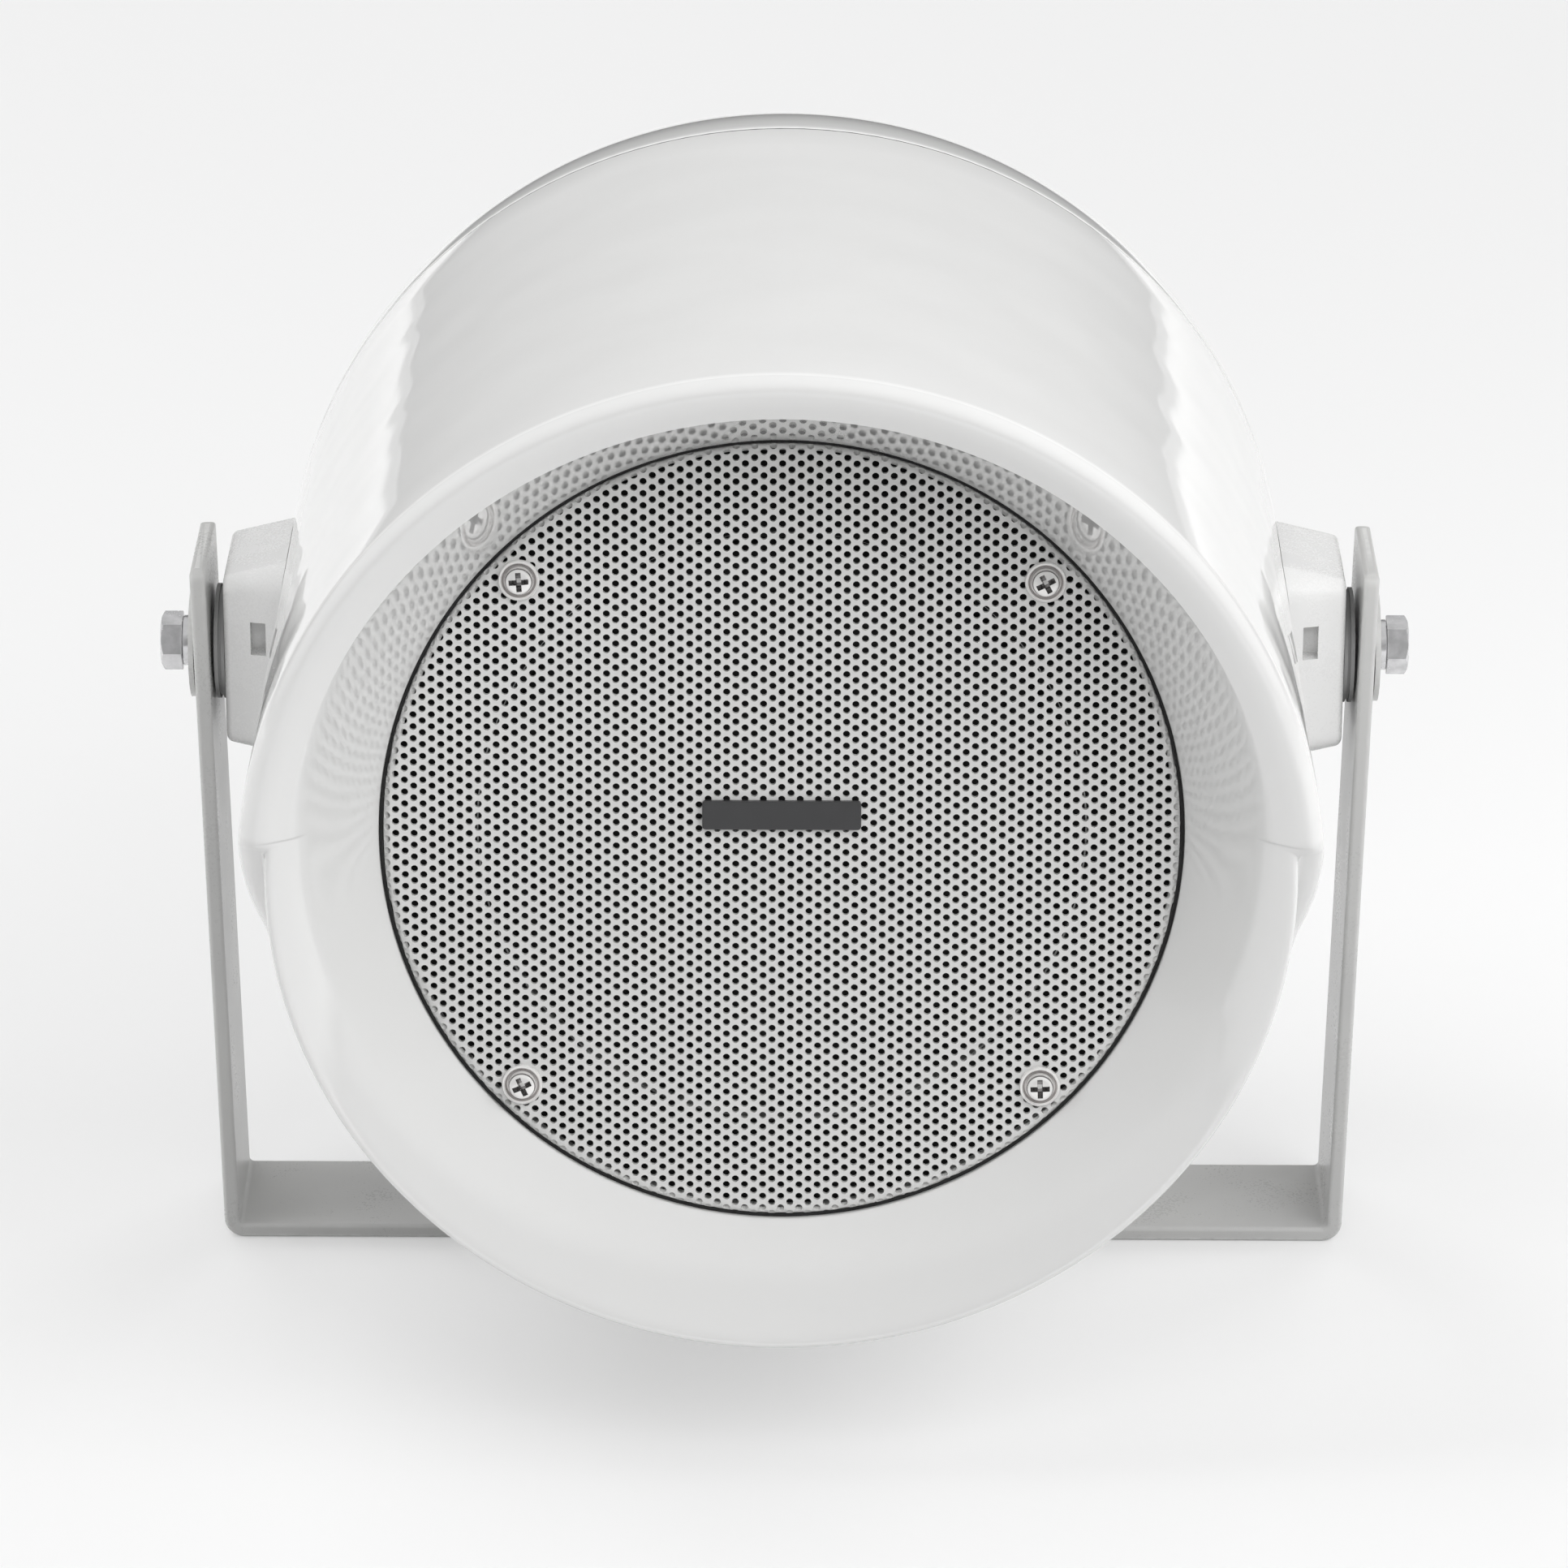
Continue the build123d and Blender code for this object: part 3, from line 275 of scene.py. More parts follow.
# dust that settles where the surface faces up
restingDust, groupIn, groupOut = newGroup(
    "restingDust",
    [("Amount", floatSocket, 0.1)],
    [("Mask", floatSocket)],
)
facing = addNode(restingDust, "ShaderNodeSeparateXYZ",
                 {0: addNode(restingDust, "ShaderNodeNewGeometry").outputs["Normal"]}).outputs[2]
specks = noiseNode(restingDust, objectSpot(restingDust), 260.0, 5.0, 0.7)
lying = mathNode(restingDust, "MULTIPLY", mapValue(restingDust, facing, 0.3, 0.95),
                 mapValue(restingDust, specks, 0.42, 0.72))
restingDust.links.new(mathNode(restingDust, "MULTIPLY", lying, groupIn.outputs["Amount"], clamp=True),
                      groupOut.inputs["Mask"])

# turning or drawing marks on metal
toolMarks, groupIn, groupOut = newGroup(
    "toolMarks",
    [("Scale", floatSocket, 300.0), ("Stretch", floatSocket, 12.0)],
    [("Value", floatSocket)],
)
laid = stretchedSpot(toolMarks, groupIn.outputs["Stretch"], 1.0)
marks = noiseNode(toolMarks, laid, groupIn.outputs["Scale"], 4.0, 0.65)
toolMarks.links.new(marks, groupOut.inputs["Value"])
print("shader groups made")


def useGroup(tree, group, inputs):
    return addNode(tree, "ShaderNodeGroup", inputs, node_tree=group)


def bumpNode(tree, height, depth):  # depth in millimetres
    return addNode(tree, "ShaderNodeBump", {"Height": height, "Strength": 1.0, "Distance": depth * mm})


dustTone = (0.62, 0.6, 0.56, 1)
plainValues = {  # sockets that are the same all over a finish
    "metal": ("Metallic", 0.0), "ior": ("IOR", 1.5), "coat": ("Coat Weight", 0.0),
    "coatGloss": ("Coat Roughness", 0.03), "coatIor": ("Coat IOR", 1.5), "sheen": ("Sheen Weight", 0.0),
}


def makeFinish(name, look):
    material = bpy.data.materials.new(name)
    material.use_nodes = True
    tree = material.node_tree
    shader = tree.nodes["Principled BSDF"]
    drift = useGroup(tree, toneDrift, {"Tone": look["tone"] + (1,), "Other Tone": look["otherTone"] + (1,),
                                       "Scale": look["driftScale"]})
    colour = drift.outputs["Colour"]
    # lighter edge tone: rubbed wear on the gland, a painted highlight on the bracket
    if "rubTone" in look:
        rubAndHighlight = useGroup(tree, edgeRub, {"Start": look["rubStart"], "Full": look["rubFull"]})
        colour = mixColour(tree, rubAndHighlight.outputs["Mask"], colour, look["rubTone"] + (1,))
    if "dust" in look:
        dust = useGroup(tree, restingDust, {"Amount": look["dust"]})
        colour = mixColour(tree, dust.outputs["Mask"], colour, dustTone)
    tree.links.new(colour, shader.inputs["Base Color"])
    smooth, dull = look["gloss"]
    grain = useGroup(tree, surfaceGrain, {"Scale": look["grainScale"], "Smooth Gloss": smooth, "Dull Gloss": dull})
    tree.links.new(grain.outputs["Roughness"], shader.inputs["Roughness"])
    relief = bumpNode(tree, grain.outputs["Height"], look["grainDepth"])
    if "rippleDepth" in look:
        ripple = useGroup(tree, mouldRipple, {"Scale": look["rippleScale"], "Along": look["rippleAlong"]})
        wave = bumpNode(tree, ripple.outputs["Height"], look["rippleDepth"])
        tree.links.new(wave.outputs["Normal"], relief.inputs["Normal"])
    if "markDepth" in look:
        marks = useGroup(tree, toolMarks, {"Scale": look["markScale"], "Stretch": look["markStretch"]})
        cut = bumpNode(tree, marks.outputs["Value"], look["markDepth"])
        tree.links.new(cut.outputs["Normal"], relief.inputs["Normal"])
    tree.links.new(relief.outputs["Normal"], shader.inputs["Normal"])
    for key, (socket, plain) in plainValues.items():
        shader.inputs[socket].default_value = look.get(key, plain)
    return material


finishes = {
    "housingWhite": {  # glossy weatherproof moulding
        "tone": (0.80, 0.80, 0.795), "otherTone": (0.785, 0.785, 0.78), "driftScale": 9.0,
        "gloss": (0.05, 0.09), "grainScale": 1500.0, "grainDepth": 0.0012,
        "rippleScale": 55.0, "rippleAlong": 1.0, "rippleDepth": 0.015, "dust": 0.03, "ior": 1.6,
        "coat": 1.0, "coatGloss": 0.02, "coatIor": 1.65,
    },
    "barrelWhite": {  # the same moulding where the long barrel pulled from its mould
        "tone": (0.80, 0.80, 0.795), "otherTone": (0.785, 0.785, 0.78), "driftScale": 9.0,
        "gloss": (0.02, 0.04), "grainScale": 1500.0, "grainDepth": 0.0004,
        "rippleScale": 42.0, "rippleAlong": 1.1, "rippleDepth": 0.34, "dust": 0.03,
    },
    "blockGrey": {
        "tone": (0.81, 0.81, 0.805), "otherTone": (0.80, 0.80, 0.795), "driftScale": 40.0,
        "gloss": (0.24, 0.3), "grainScale": 2600.0, "grainDepth": 0.0015,
    },
    "bracketPaint": {  # stoved paint on bent steel strip
        "tone": (0.56, 0.56, 0.55), "otherTone": (0.53, 0.53, 0.525), "driftScale": 30.0,
        "gloss": (0.26, 0.34), "grainScale": 1900.0, "grainDepth": 0.002, "dust": 0.02,
        # the lighter edge tone is a painted highlight where the rounded edges catch the light
        "rubTone": (0.78, 0.78, 0.77), "rubStart": 0.515, "rubFull": 0.56,
    },
    "grillePaint": {  # powder coat on perforated sheet
        "tone": (0.73, 0.73, 0.72), "otherTone": (0.71, 0.71, 0.70), "driftScale": 60.0,
        "gloss": (0.30, 0.42), "grainScale": 4200.0, "grainDepth": 0.008, "dust": 0.03,
    },
    "zincPlate": {
        "tone": (0.82, 0.82, 0.83), "otherTone": (0.64, 0.64, 0.65), "driftScale": 420.0, "metal": 0.7,
        "gloss": (0.14, 0.28), "grainScale": 2400.0, "grainDepth": 0.003,
        "markScale": 500.0, "markStretch": 4.0, "markDepth": 0.006,
    },
    "screwNickel": {  # plated cup washers and heads
        "tone": (0.95, 0.94, 0.93), "otherTone": (0.90, 0.89, 0.88), "driftScale": 260.0, "metal": 0.3,
        "gloss": (0.12, 0.22), "grainScale": 2600.0, "grainDepth": 0.002,
    },
    "screwDish": {  # the hollow of the cup, painted darker: painted shade, and a painted reflection of the dark front of the room
        "tone": (0.68, 0.66, 0.65), "otherTone": (0.62, 0.60, 0.59), "driftScale": 260.0, "metal": 0.7,
        "gloss": (0.14, 0.24), "grainScale": 2600.0, "grainDepth": 0.002,
    },
    # painted shade in the cross recess of the heads
    "screwRecess": {
        "tone": (0.34, 0.33, 0.325), "otherTone": (0.27, 0.26, 0.26), "driftScale": 400.0, "metal": 0.8,
        "gloss": (0.2, 0.3), "grainScale": 2600.0, "grainDepth": 0.002,
    },
    "discGrey": {
        "tone": (0.30, 0.30, 0.30), "otherTone": (0.27, 0.27, 0.27), "driftScale": 160.0,
        "gloss": (0.42, 0.6), "grainScale": 3000.0, "grainDepth": 0.02,
    },
    "badgeDark": {
        "tone": (0.045, 0.045, 0.047), "otherTone": (0.05, 0.05, 0.052), "driftScale": 120.0,
        "gloss": (0.28, 0.38), "grainScale": 3400.0, "grainDepth": 0.003,
        "markScale": 900.0, "markStretch": 0.15, "markDepth": 0.003,
    },
    "brass": {
        "tone": (0.72, 0.53, 0.25), "otherTone": (0.62, 0.44, 0.2), "driftScale": 200.0, "metal": 1.0,
        "gloss": (0.2, 0.35), "grainScale": 2400.0, "grainDepth": 0.004,
    },
    "sealBlack": {
        "tone": (0.02, 0.02, 0.02), "otherTone": (0.03, 0.03, 0.03), "driftScale": 200.0,
        "gloss": (0.5, 0.7), "grainScale": 2600.0, "grainDepth": 0.02,
    },
    "glandGrey": {
        "tone": (0.55, 0.55, 0.54), "otherTone": (0.52, 0.52, 0.51), "driftScale": 90.0,
        "gloss": (0.28, 0.4), "grainScale": 2800.0, "grainDepth": 0.008, "dust": 0.05,
        "rubTone": (0.62, 0.62, 0.61), "rubStart": 0.53, "rubFull": 0.66,
    },
    "basketBlack": {
        "tone": (0.02, 0.02, 0.02), "otherTone": (0.028, 0.028, 0.028), "driftScale": 70.0,
        "gloss": (0.35, 0.5), "grainScale": 2200.0, "grainDepth": 0.01,
    },
    # black foam, also used for the painted shade in the gap around the grille pan
    "foamBlack": {
        "tone": (0.012, 0.012, 0.012), "otherTone": (0.02, 0.02, 0.02), "driftScale": 400.0,
        "gloss": (0.8, 0.95), "grainScale": 1800.0, "grainDepth": 0.12, "sheen": 0.2,
    },
    "ferrite": {
        "tone": (0.05, 0.05, 0.052), "otherTone": (0.035, 0.035, 0.037), "driftScale": 120.0,
        "gloss": (0.5, 0.65), "grainScale": 2600.0, "grainDepth": 0.02,
    },
    "plateZinc": {
        "tone": (0.62, 0.62, 0.6), "otherTone": (0.52, 0.53, 0.52), "driftScale": 110.0, "metal": 1.0,
        "gloss": (0.3, 0.45), "grainScale": 2400.0, "grainDepth": 0.006,
        "markScale": 350.0, "markStretch": 6.0, "markDepth": 0.01,
    },
    "conePaper": {
        "tone": (0.03, 0.03, 0.03), "otherTone": (0.045, 0.045, 0.043), "driftScale": 160.0,
        "gloss": (0.7, 0.85), "grainScale": 1200.0, "grainDepth": 0.08, "sheen": 0.1,
    },
    "coilCopper": {
        "tone": (0.6, 0.27, 0.13), "otherTone": (0.5, 0.22, 0.1), "driftScale": 200.0, "metal": 1.0,
        "gloss": (0.25, 0.4), "grainScale": 2000.0, "grainDepth": 0.004,
        "markScale": 700.0, "markStretch": 0.05, "markDepth": 0.05,
    },
    "surroundRubber": {
        "tone": (0.018, 0.018, 0.018), "otherTone": (0.026, 0.026, 0.026), "driftScale": 120.0,
        "gloss": (0.45, 0.6), "grainScale": 2400.0, "grainDepth": 0.01,
    },
    "spiderCloth": {
        "tone": (0.38, 0.27, 0.13), "otherTone": (0.3, 0.21, 0.1), "driftScale": 300.0,
        "gloss": (0.75, 0.9), "grainScale": 1500.0, "grainDepth": 0.1, "sheen": 0.2,
    },
    "coreSteel": {
        "tone": (0.3, 0.3, 0.31), "otherTone": (0.22, 0.22, 0.24), "driftScale": 80.0, "metal": 1.0,
        "gloss": (0.35, 0.5), "grainScale": 1800.0, "grainDepth": 0.005,
        "markScale": 1600.0, "markStretch": 0.02, "markDepth": 0.06,
    },
    "boardBrown": {
        "tone": (0.2, 0.09, 0.035), "otherTone": (0.16, 0.07, 0.028), "driftScale": 140.0,
        "gloss": (0.3, 0.45), "grainScale": 1700.0, "grainDepth": 0.006,
    },
}
finish = {name: makeFinish(name, look) for name, look in finishes.items()}
print("finishes made:", len(finish))

slotFinish = {"zinc": "zincPlate", "grille_white": "grillePaint"}  # other slots have their finish's name


def finishFor(slotName):
    start, *others = slotName.split("_")
    return slotFinish.get(slotName, start + "".join(word.title() for word in others))


for nodeName, nodeObject in nodes.items():  # for the nodes that keep their CAD shape
    for used in nodeObject.material_slots:
        slotName = used.material.name.split(".")[0] if used.material else ""
        if finishFor(slotName) in finish:
            used.material = finish[finishFor(slotName)]
        else:
            print("no finish for", nodeName, slotName)


# front housing: barrel, rain hood, lip, flare and baffle as one smooth moulding

housing = {  # millimetres, with the CAD's own sizes
    "pivotHeight": 122.8, "barrelRadius": 98.5, "wall": 3.0, "rimAhead": 122.0,
    "seamBehind": 21.5, "seamRound": 0.8, "barrelBand": 0.2,  # band: depth that counts as barrel
    "hoodRound": 3.4, "hoodStep": 8.6, "hoodSetback": 31.0, "stepSoft": 1.6, "cheekSoft": 3.0,
    "ringRadius": 93.6, "ringSetback": 1.2, "ringRound": 1.8, "ringWall": 2.0, "ringFillet": 0.9,
    "ringLipDrop": 0.45, "dropRun": 0.35,  # ring's lip behind the hood's lip
    "lipCrest": 94.5, "lipRoot": 81.0, "lipDepth": 7.6, "lipWall": 9.0,
    "lipEdge": 3.2, "lipSoft": 1.3, "lipLeast": 0.1,  # edge: reach of the soft edge into the flare
    "flareHalfWidth": 90.2, "flareHalfHeight": 91.6, "flareRise": 1.6, "flareWall": 2.4,
    "grilleTilt": 8.0, "grilleAhead": 96.6, "grilleRise": 0.4,
    "throatRadius": 74.1, "throatEdge": 0.5, "throatDepth": 5.0,
    "baffleThickness": 4.0, "driverOpening": 56.0,
}


def barrelPoint(radius, turn, ahead):
    return Vector((radius * cos(turn), -ahead, housing["pivotHeight"] + radius * sin(turn)))


def cheekAhead(up):  # front of the outer shell at a height above the barrel axis
    h = housing
    slope = h["rimAhead"] - h["hoodStep"] + up
    front = smoothMin(h["rimAhead"], slope, h["stepSoft"])
    return -smoothMin(-front, h["hoodSetback"] - h["rimAhead"], h["cheekSoft"])


def rolledFront(radius, outer, front, roll):  # a front face with a rolled outer edge
    over = radius - (outer - roll)
    if over <= 0:
        return front
    return front - roll + sqrt(max(roll * roll - over * over, 0.0))


def lipAhead(radius, up):
    h = housing
    onRing = 1 - ramp(up, h["hoodStep"] - h["dropRun"], h["hoodStep"] + h["dropRun"])
    slope = h["lipDepth"] / (h["lipCrest"] - h["lipRoot"])
    return h["rimAhead"] - (h["lipCrest"] - radius) * slope - h["ringLipDrop"] * onRing


def frontAhead(radius, turn):
    h = housing
    up = radius * sin(turn)
    shell = rolledFront(radius, h["barrelRadius"], cheekAhead(up), h["hoodRound"])
    if radius <= h["ringRadius"]:
        ring = rolledFront(radius, h["ringRadius"], h["rimAhead"] - h["ringSetback"], h["ringRound"])
        shell = max(shell, ring)
    return smoothMin(shell, lipAhead(radius, up), h["lipSoft"])


tilt = radians(housing["grilleTilt"])
grilleUp = Vector((0, sin(tilt), cos(tilt)))
grilleOut = Vector((0, -cos(tilt), sin(tilt)))
grilleCentre = Vector((0, -housing["grilleAhead"], housing["pivotHeight"] + housing["grilleRise"]))


def throatPoint(radius, turn, depth):
    return grilleCentre + Vector((radius * cos(turn), 0, 0)) + grilleUp * (radius * sin(turn)) - grilleOut * depth


def mouthPoint(turn, extra):
    h = housing
    return Vector(((h["flareHalfWidth"] + extra) * cos(turn), -h["rimAhead"],
                   h["pivotHeight"] + h["flareRise"] + (h["flareHalfHeight"] + extra) * sin(turn)))


def polar(point):
    up = point.z - housing["pivotHeight"]
    return hypot(point.x, up), atan2(up, point.x)


def lipMeetsFlare(turn):  # where the lip's line at this angle runs into the flare
    flareTurn = turn
    for attempt in range(7):
        inner, outer = throatPoint(housing["throatRadius"], flareTurn, 0), mouthPoint(flareTurn, 0)
        low, high = 0.0, 1.0
        for halving in range(34):
            middle = (low + high) / 2
            point = inner.lerp(outer, middle)
            radius, at = polar(point)
            if -point.y > lipAhead(radius, radius * sin(turn)):
                high = middle
            else:
                low = middle
        miss = (turn - at + pi) % (2 * pi) - pi
        flareTurn += miss
    return flareTurn, point


def housingColumn(turn):
    h = housing
    radius, seam, bevel = h["barrelRadius"], -h["seamBehind"], h["seamRound"]
    column = []
    for a in [0.0] + quarterTurns(6):  # rounded rear edge
        column.append(barrelPoint(radius - bevel * (1 - sin(a)), turn, seam + bevel * (1 - cos(a))))
    rollFoot = frontAhead(radius, turn)
    for share in shares(14):
        column.append(barrelPoint(radius, turn, seam + bevel + (rollFoot - seam - bevel) * share))
    hoodInner, stepFoot = radius - h["hoodRound"], h["ringRadius"] + h["ringFillet"]
    across = [radius - h["hoodRound"] * (1 - cos(a)) for a in quarterTurns(14)]  # outer roll of the hood
    across += [hoodInner + (stepFoot - hoodInner) * share for share in shares(3)]
    column.extend(barrelPoint(at, turn, frontAhead(at, turn)) for at in across)
    faceAhead = frontAhead(stepFoot, turn)
    tall = frontAhead(h["ringRadius"], turn) - faceAhead
    if tall > 0:  # step down to the ring, with a soft foot
        foot = min(h["ringFillet"], tall)
        for a in quarterTurns(6):
            column.append(barrelPoint(stepFoot - h["ringFillet"] * sin(a), turn, faceAhead + foot * (1 - cos(a))))
        for share in shares(6):
            column.append(barrelPoint(h["ringRadius"], turn, faceAhead + foot + (tall - foot) * share))
    else:
        across = [stepFoot - h["ringFillet"] * share for share in shares(12)]
        column.extend(barrelPoint(at, turn, frontAhead(at, turn)) for at in across)
    flareTurn, edge = lipMeetsFlare(turn)
    reach = h["lipEdge"] / hypot(1, h["lipDepth"] / (h["lipCrest"] - h["lipRoot"]))
    lipStart = h["ringRadius"] - 2 * h["ringRound"]
    lipEnd = min(polar(edge)[0] + reach, lipStart - h["lipLeast"])
    across = [h["ringRadius"] - 2 * h["ringRound"] * (1 - cos(a)) for a in quarterTurns(14)]  # roll of the ring
    across += [lipStart + (lipEnd - lipStart) * share for share in shares(5)]
    column.extend(barrelPoint(at, turn, frontAhead(at, turn)) for at in across)
    inner, outer = throatPoint(h["throatRadius"], flareTurn, 0), mouthPoint(flareTurn, 0)
    flareEnd = edge + (inner - edge).normalized() * h["lipEdge"]
    column.extend(bendPoints(column[-1], edge, flareEnd, 12)[1:])
    throatTop = inner - (inner - outer).normalized() * h["throatEdge"]
    column.extend(flareEnd.lerp(throatTop, share) for share in shares(8))
    below = throatPoint(h["throatRadius"], flareTurn, h["throatEdge"])
    column.extend(bendPoints(throatTop, inner, below, 5)[1:])
    depth, back = h["throatDepth"], h["throatDepth"] + h["baffleThickness"]
    column.append(throatPoint(h["throatRadius"], flareTurn, depth))
    column.append(throatPoint(h["driverOpening"], flareTurn, depth))
    column.append(throatPoint(h["driverOpening"], flareTurn, back))
    outside = throatPoint(h["throatRadius"] + h["flareWall"], flareTurn, back)
    column.append(outside)
    seat = h["rimAhead"] - h["lipWall"]
    far = mouthPoint(flareTurn, h["flareWall"])
    column.append(outside.lerp(far, (seat + outside.y) / (outside.y - far.y)))
    lining, barrelInner = h["ringRadius"] - h["ringWall"], radius - h["wall"]
    shoulder = h["rimAhead"] - h["hoodSetback"] - h["wall"]
    for at, ahead in ((lining, seat), (lining, shoulder), (barrelInner, shoulder), (barrelInner, seam)):
        column.append(barrelPoint(at, turn, ahead))
    return column


closer = {  # extra columns over the foot of the hood and the lower corner of the cheek
    "footRadius": 94.0, "footSpacing": 0.16, "footCount": 14,
    "cornerRadius": 97.0, "cornerSpacing": 0.5, "cornerCount": 6, "least": 0.0006,
}


def turnsAtHeight(up, radius):  # the two angles at which a circle reaches a height
    low = asin(up / radius)
    return round(low % (2 * pi), 6), round((pi - low) % (2 * pi), 6)


turns = {round(radians(k), 6) for k in range(360)}
for fine in range(-closer["footCount"], closer["footCount"] + 1):
    turns.update(turnsAtHeight(housing["hoodStep"] + closer["footSpacing"] * fine, closer["footRadius"]))
cornerUp = housing["hoodStep"] - housing["hoodSetback"]
for fine in range(-closer["cornerCount"], closer["cornerCount"] + 1):
    turns.update(turnsAtHeight(cornerUp + closer["cornerSpacing"] * fine, closer["cornerRadius"]))
spread = []
for turn in sorted(turns):
    if not spread or turn - spread[-1] > closer["least"]:
        spread.append(turn)
shellColumns = [housingColumn(turn) for turn in spread]
shellPoints = [point for column in shellColumns for point in column]
shellMesh = meshFrom("housingShell", shellPoints, ringFaces(len(spread), len(shellColumns[0]), True), 42)
housingShell = addObject("housingShell", shellMesh)
dress(housingShell, finish["housingWhite"], "housing_white", "speaker", "front_housing", "flare_baffle")
shellMesh.materials.append(finish["barrelWhite"])
barrelFrom = housing["barrelRadius"] - housing["barrelBand"]
for face in shellMesh.polygons:
    if hypot(face.center.x, face.center.z - housing["pivotHeight"] * mm) > barrelFrom * mm:
        face.material_index = 1


# rear cover: a dome with four screw wells

dome = {
    "front": 21.75, "depth": 52.55, "flatRadius": 38.5, "edgeRound": 0.5, "fullness": 2.2, "seatRing": 50.0,
    "wellCircle": 85.0, "wellRadius": 3.8, "wellSeat": 8.0, "wellTop": 70.0, "around": 300,
}
domeRadius, soft, power = housing["barrelRadius"], dome["edgeRound"], 2 / dome["fullness"]
domeProfile = [(0.0, 0.0), (dome["seatRing"], 0.0), (domeRadius - soft, 0.0)]
domeProfile += [(domeRadius - soft * (1 - sin(a)), soft * (1 - cos(a))) for a in quarterTurns(6)]
for a in quarterTurns(64):
    across = dome["flatRadius"] + (domeRadius - dome["flatRadius"]) * max(cos(a), 0.0) ** power
    behind = dome["depth"] * sin(a) ** power
    if behind > soft:
        domeProfile.append((across, behind))
domeProfile += [(dome["flatRadius"] * (1 - share), dome["depth"]) for share in shares(4)]
domePoints, domeFaces = revolveAbout(domeProfile, dome["around"])
rearDome = addObject("rearDome", meshFrom("rearDome", domePoints, domeFaces, 30))
wells = []
wellProfile = [(0, dome["wellSeat"]), (dome["wellRadius"], dome["wellSeat"]),
               (dome["wellRadius"], dome["wellTop"]), (0, dome["wellTop"])]
for k in range(4):
    a = radians(45 + 90 * k)
    centre = Vector((dome["wellCircle"] * cos(a), dome["wellCircle"] * sin(a), 0))
    rod, rodFaces = revolveAbout(wellProfile, 40)
    wells.append(addObject("well", meshFrom("well", [p + centre for p in rod], rodFaces, 30)))
cutAway(rearDome, wells, 30)
rearDome.matrix_world = Matrix((  # the dome's height runs backwards
    (-1, 0, 0, 0),
    (0, 0, 1, dome["front"] * mm),
    (0, 1, 0, housing["pivotHeight"] * mm),
    (0, 0, 0, 1),
))
dress(rearDome, finish["housingWhite"], "housing_white", "speaker", "rear_cover")


# grille: a pan of perforated sheet

pan = {
    "radius": 73.4, "roll": 1.4, "depth": 4.95, "sheet": 1.0, "columnPitch": 1.69, "rowPitch": 2.25,
    "holeRadius": 0.68, "holeSides": 10, "patternEdge": 74.0, "plainFrom": 75.6, "rimSteps": 300,
}
panFrame = Matrix((
    (1, 0, 0, 0),
    (0, grilleUp.y, grilleOut.y, grilleCentre.y * mm),
    (0, grilleUp.z, grilleOut.z, grilleCentre.z * mm),
    (0, 0, 0, 1),
))


def panPoint(across, up, level):  # wraps the flat sheet over the pan's rolled edge
    flat = pan["radius"] - pan["roll"]
    reach = hypot(across, up)
    past = reach - flat
    if past <= 0:
        return Vector((across, up, -level))
    arc = pan["roll"] * pi / 2
    if past < arc:
        bend = past / pan["roll"]
        at = flat + (pan["roll"] - level) * sin(bend)
        down = pan["roll"] - (pan["roll"] - level) * cos(bend)
    else:
        at = pan["radius"] - level
        down = pan["roll"] + past - arc
    return Vector((across * at / reach, up * at / reach, -down))


panPoints, panFaces, cornerAt, flatAt = [], [], {}, []


def panVertex(across, up, level):
    panPoints.append(panPoint(across, up, level))
    flatAt.append((across, up))
    return len(panPoints) - 1


def cornerVertex(column, half):
    if (column, half) not in cornerAt:
        cornerAt[(column, half)] = panVertex((column - 0.5) * pan["columnPitch"], half * pan["rowPitch"] / 2, 0)
    return cornerAt[(column, half)]


sides = pan["holeSides"]
cellCorners = [(1, 0), (1, 1), (0, 1), (0, 0), (0, -1), (1, -1)]  # column step, half rows
cellTurns = [atan2(half * pan["rowPitch"] / 2, (step - 0.5) * pan["columnPitch"]) % (2 * pi)
             for step, half in cellCorners]
bridge = []  # triangles between the six corners and the hole
outerAt, innerAt = 0, 0
while outerAt < 6 or innerAt < sides:
    outerTurn = innerTurn = 4 * pi  # past the last one
    if outerAt < 6:
        outerTurn = cellTurns[(outerAt + 1) % 6] + (2 * pi if outerAt == 5 else 0)
    if innerAt < sides:
        innerTurn = 2 * pi * (innerAt + 1) / sides
    if outerTurn <= innerTurn:
        bridge.append((("o", outerAt % 6), ("o", (outerAt + 1) % 6), ("i", innerAt % sides)))
        outerAt += 1
    else:
        bridge.append((("o", outerAt % 6), ("i", (innerAt + 1) % sides), ("i", innerAt % sides)))
        innerAt += 1
cells = set()
span = int(pan["radius"] / pan["columnPitch"]) + 2
for column in range(-span, span + 1):
    for row in range(-span, span + 1):
        half = 2 * row + column % 2
        across, up = column * pan["columnPitch"], half * pan["rowPitch"] / 2
        if hypot(across, up) > pan["patternEdge"]:
            continue
        cells.add((column, half))
        corners = [cornerVertex(column + step, half + rise) for step, rise in cellCorners]
        rims, wellFoot = [], []
        for k in range(sides):
            a = 2 * pi * k / sides
            x, y = across + pan["holeRadius"] * cos(a), up + pan["holeRadius"] * sin(a)
            rims.append(panVertex(x, y, 0))
            wellFoot.append(panVertex(x, y, pan["sheet"]))
        pick = {"o": corners, "i": rims}
        for trio in bridge:
            panFaces.append(tuple(pick[kind][index] for kind, index in trio))
        for k in range(sides):
            j = (k + 1) % sides
            panFaces.append((rims[j], rims[k], wellFoot[k], wellFoot[j]))
edgeCount = {}
for column, half in cells:
    loop = [cornerAt[(column + step, half + rise)] for step, rise in cellCorners]
    for a, b in zip(loop, loop[1:] + loop[:1]):
        edgeCount[(min(a, b), max(a, b))] = edgeCount.get((min(a, b), max(a, b)), 0) + 1
ragged = [pair for pair, used in edgeCount.items() if used == 1]
border = sorted({v for pair in ragged for v in pair})
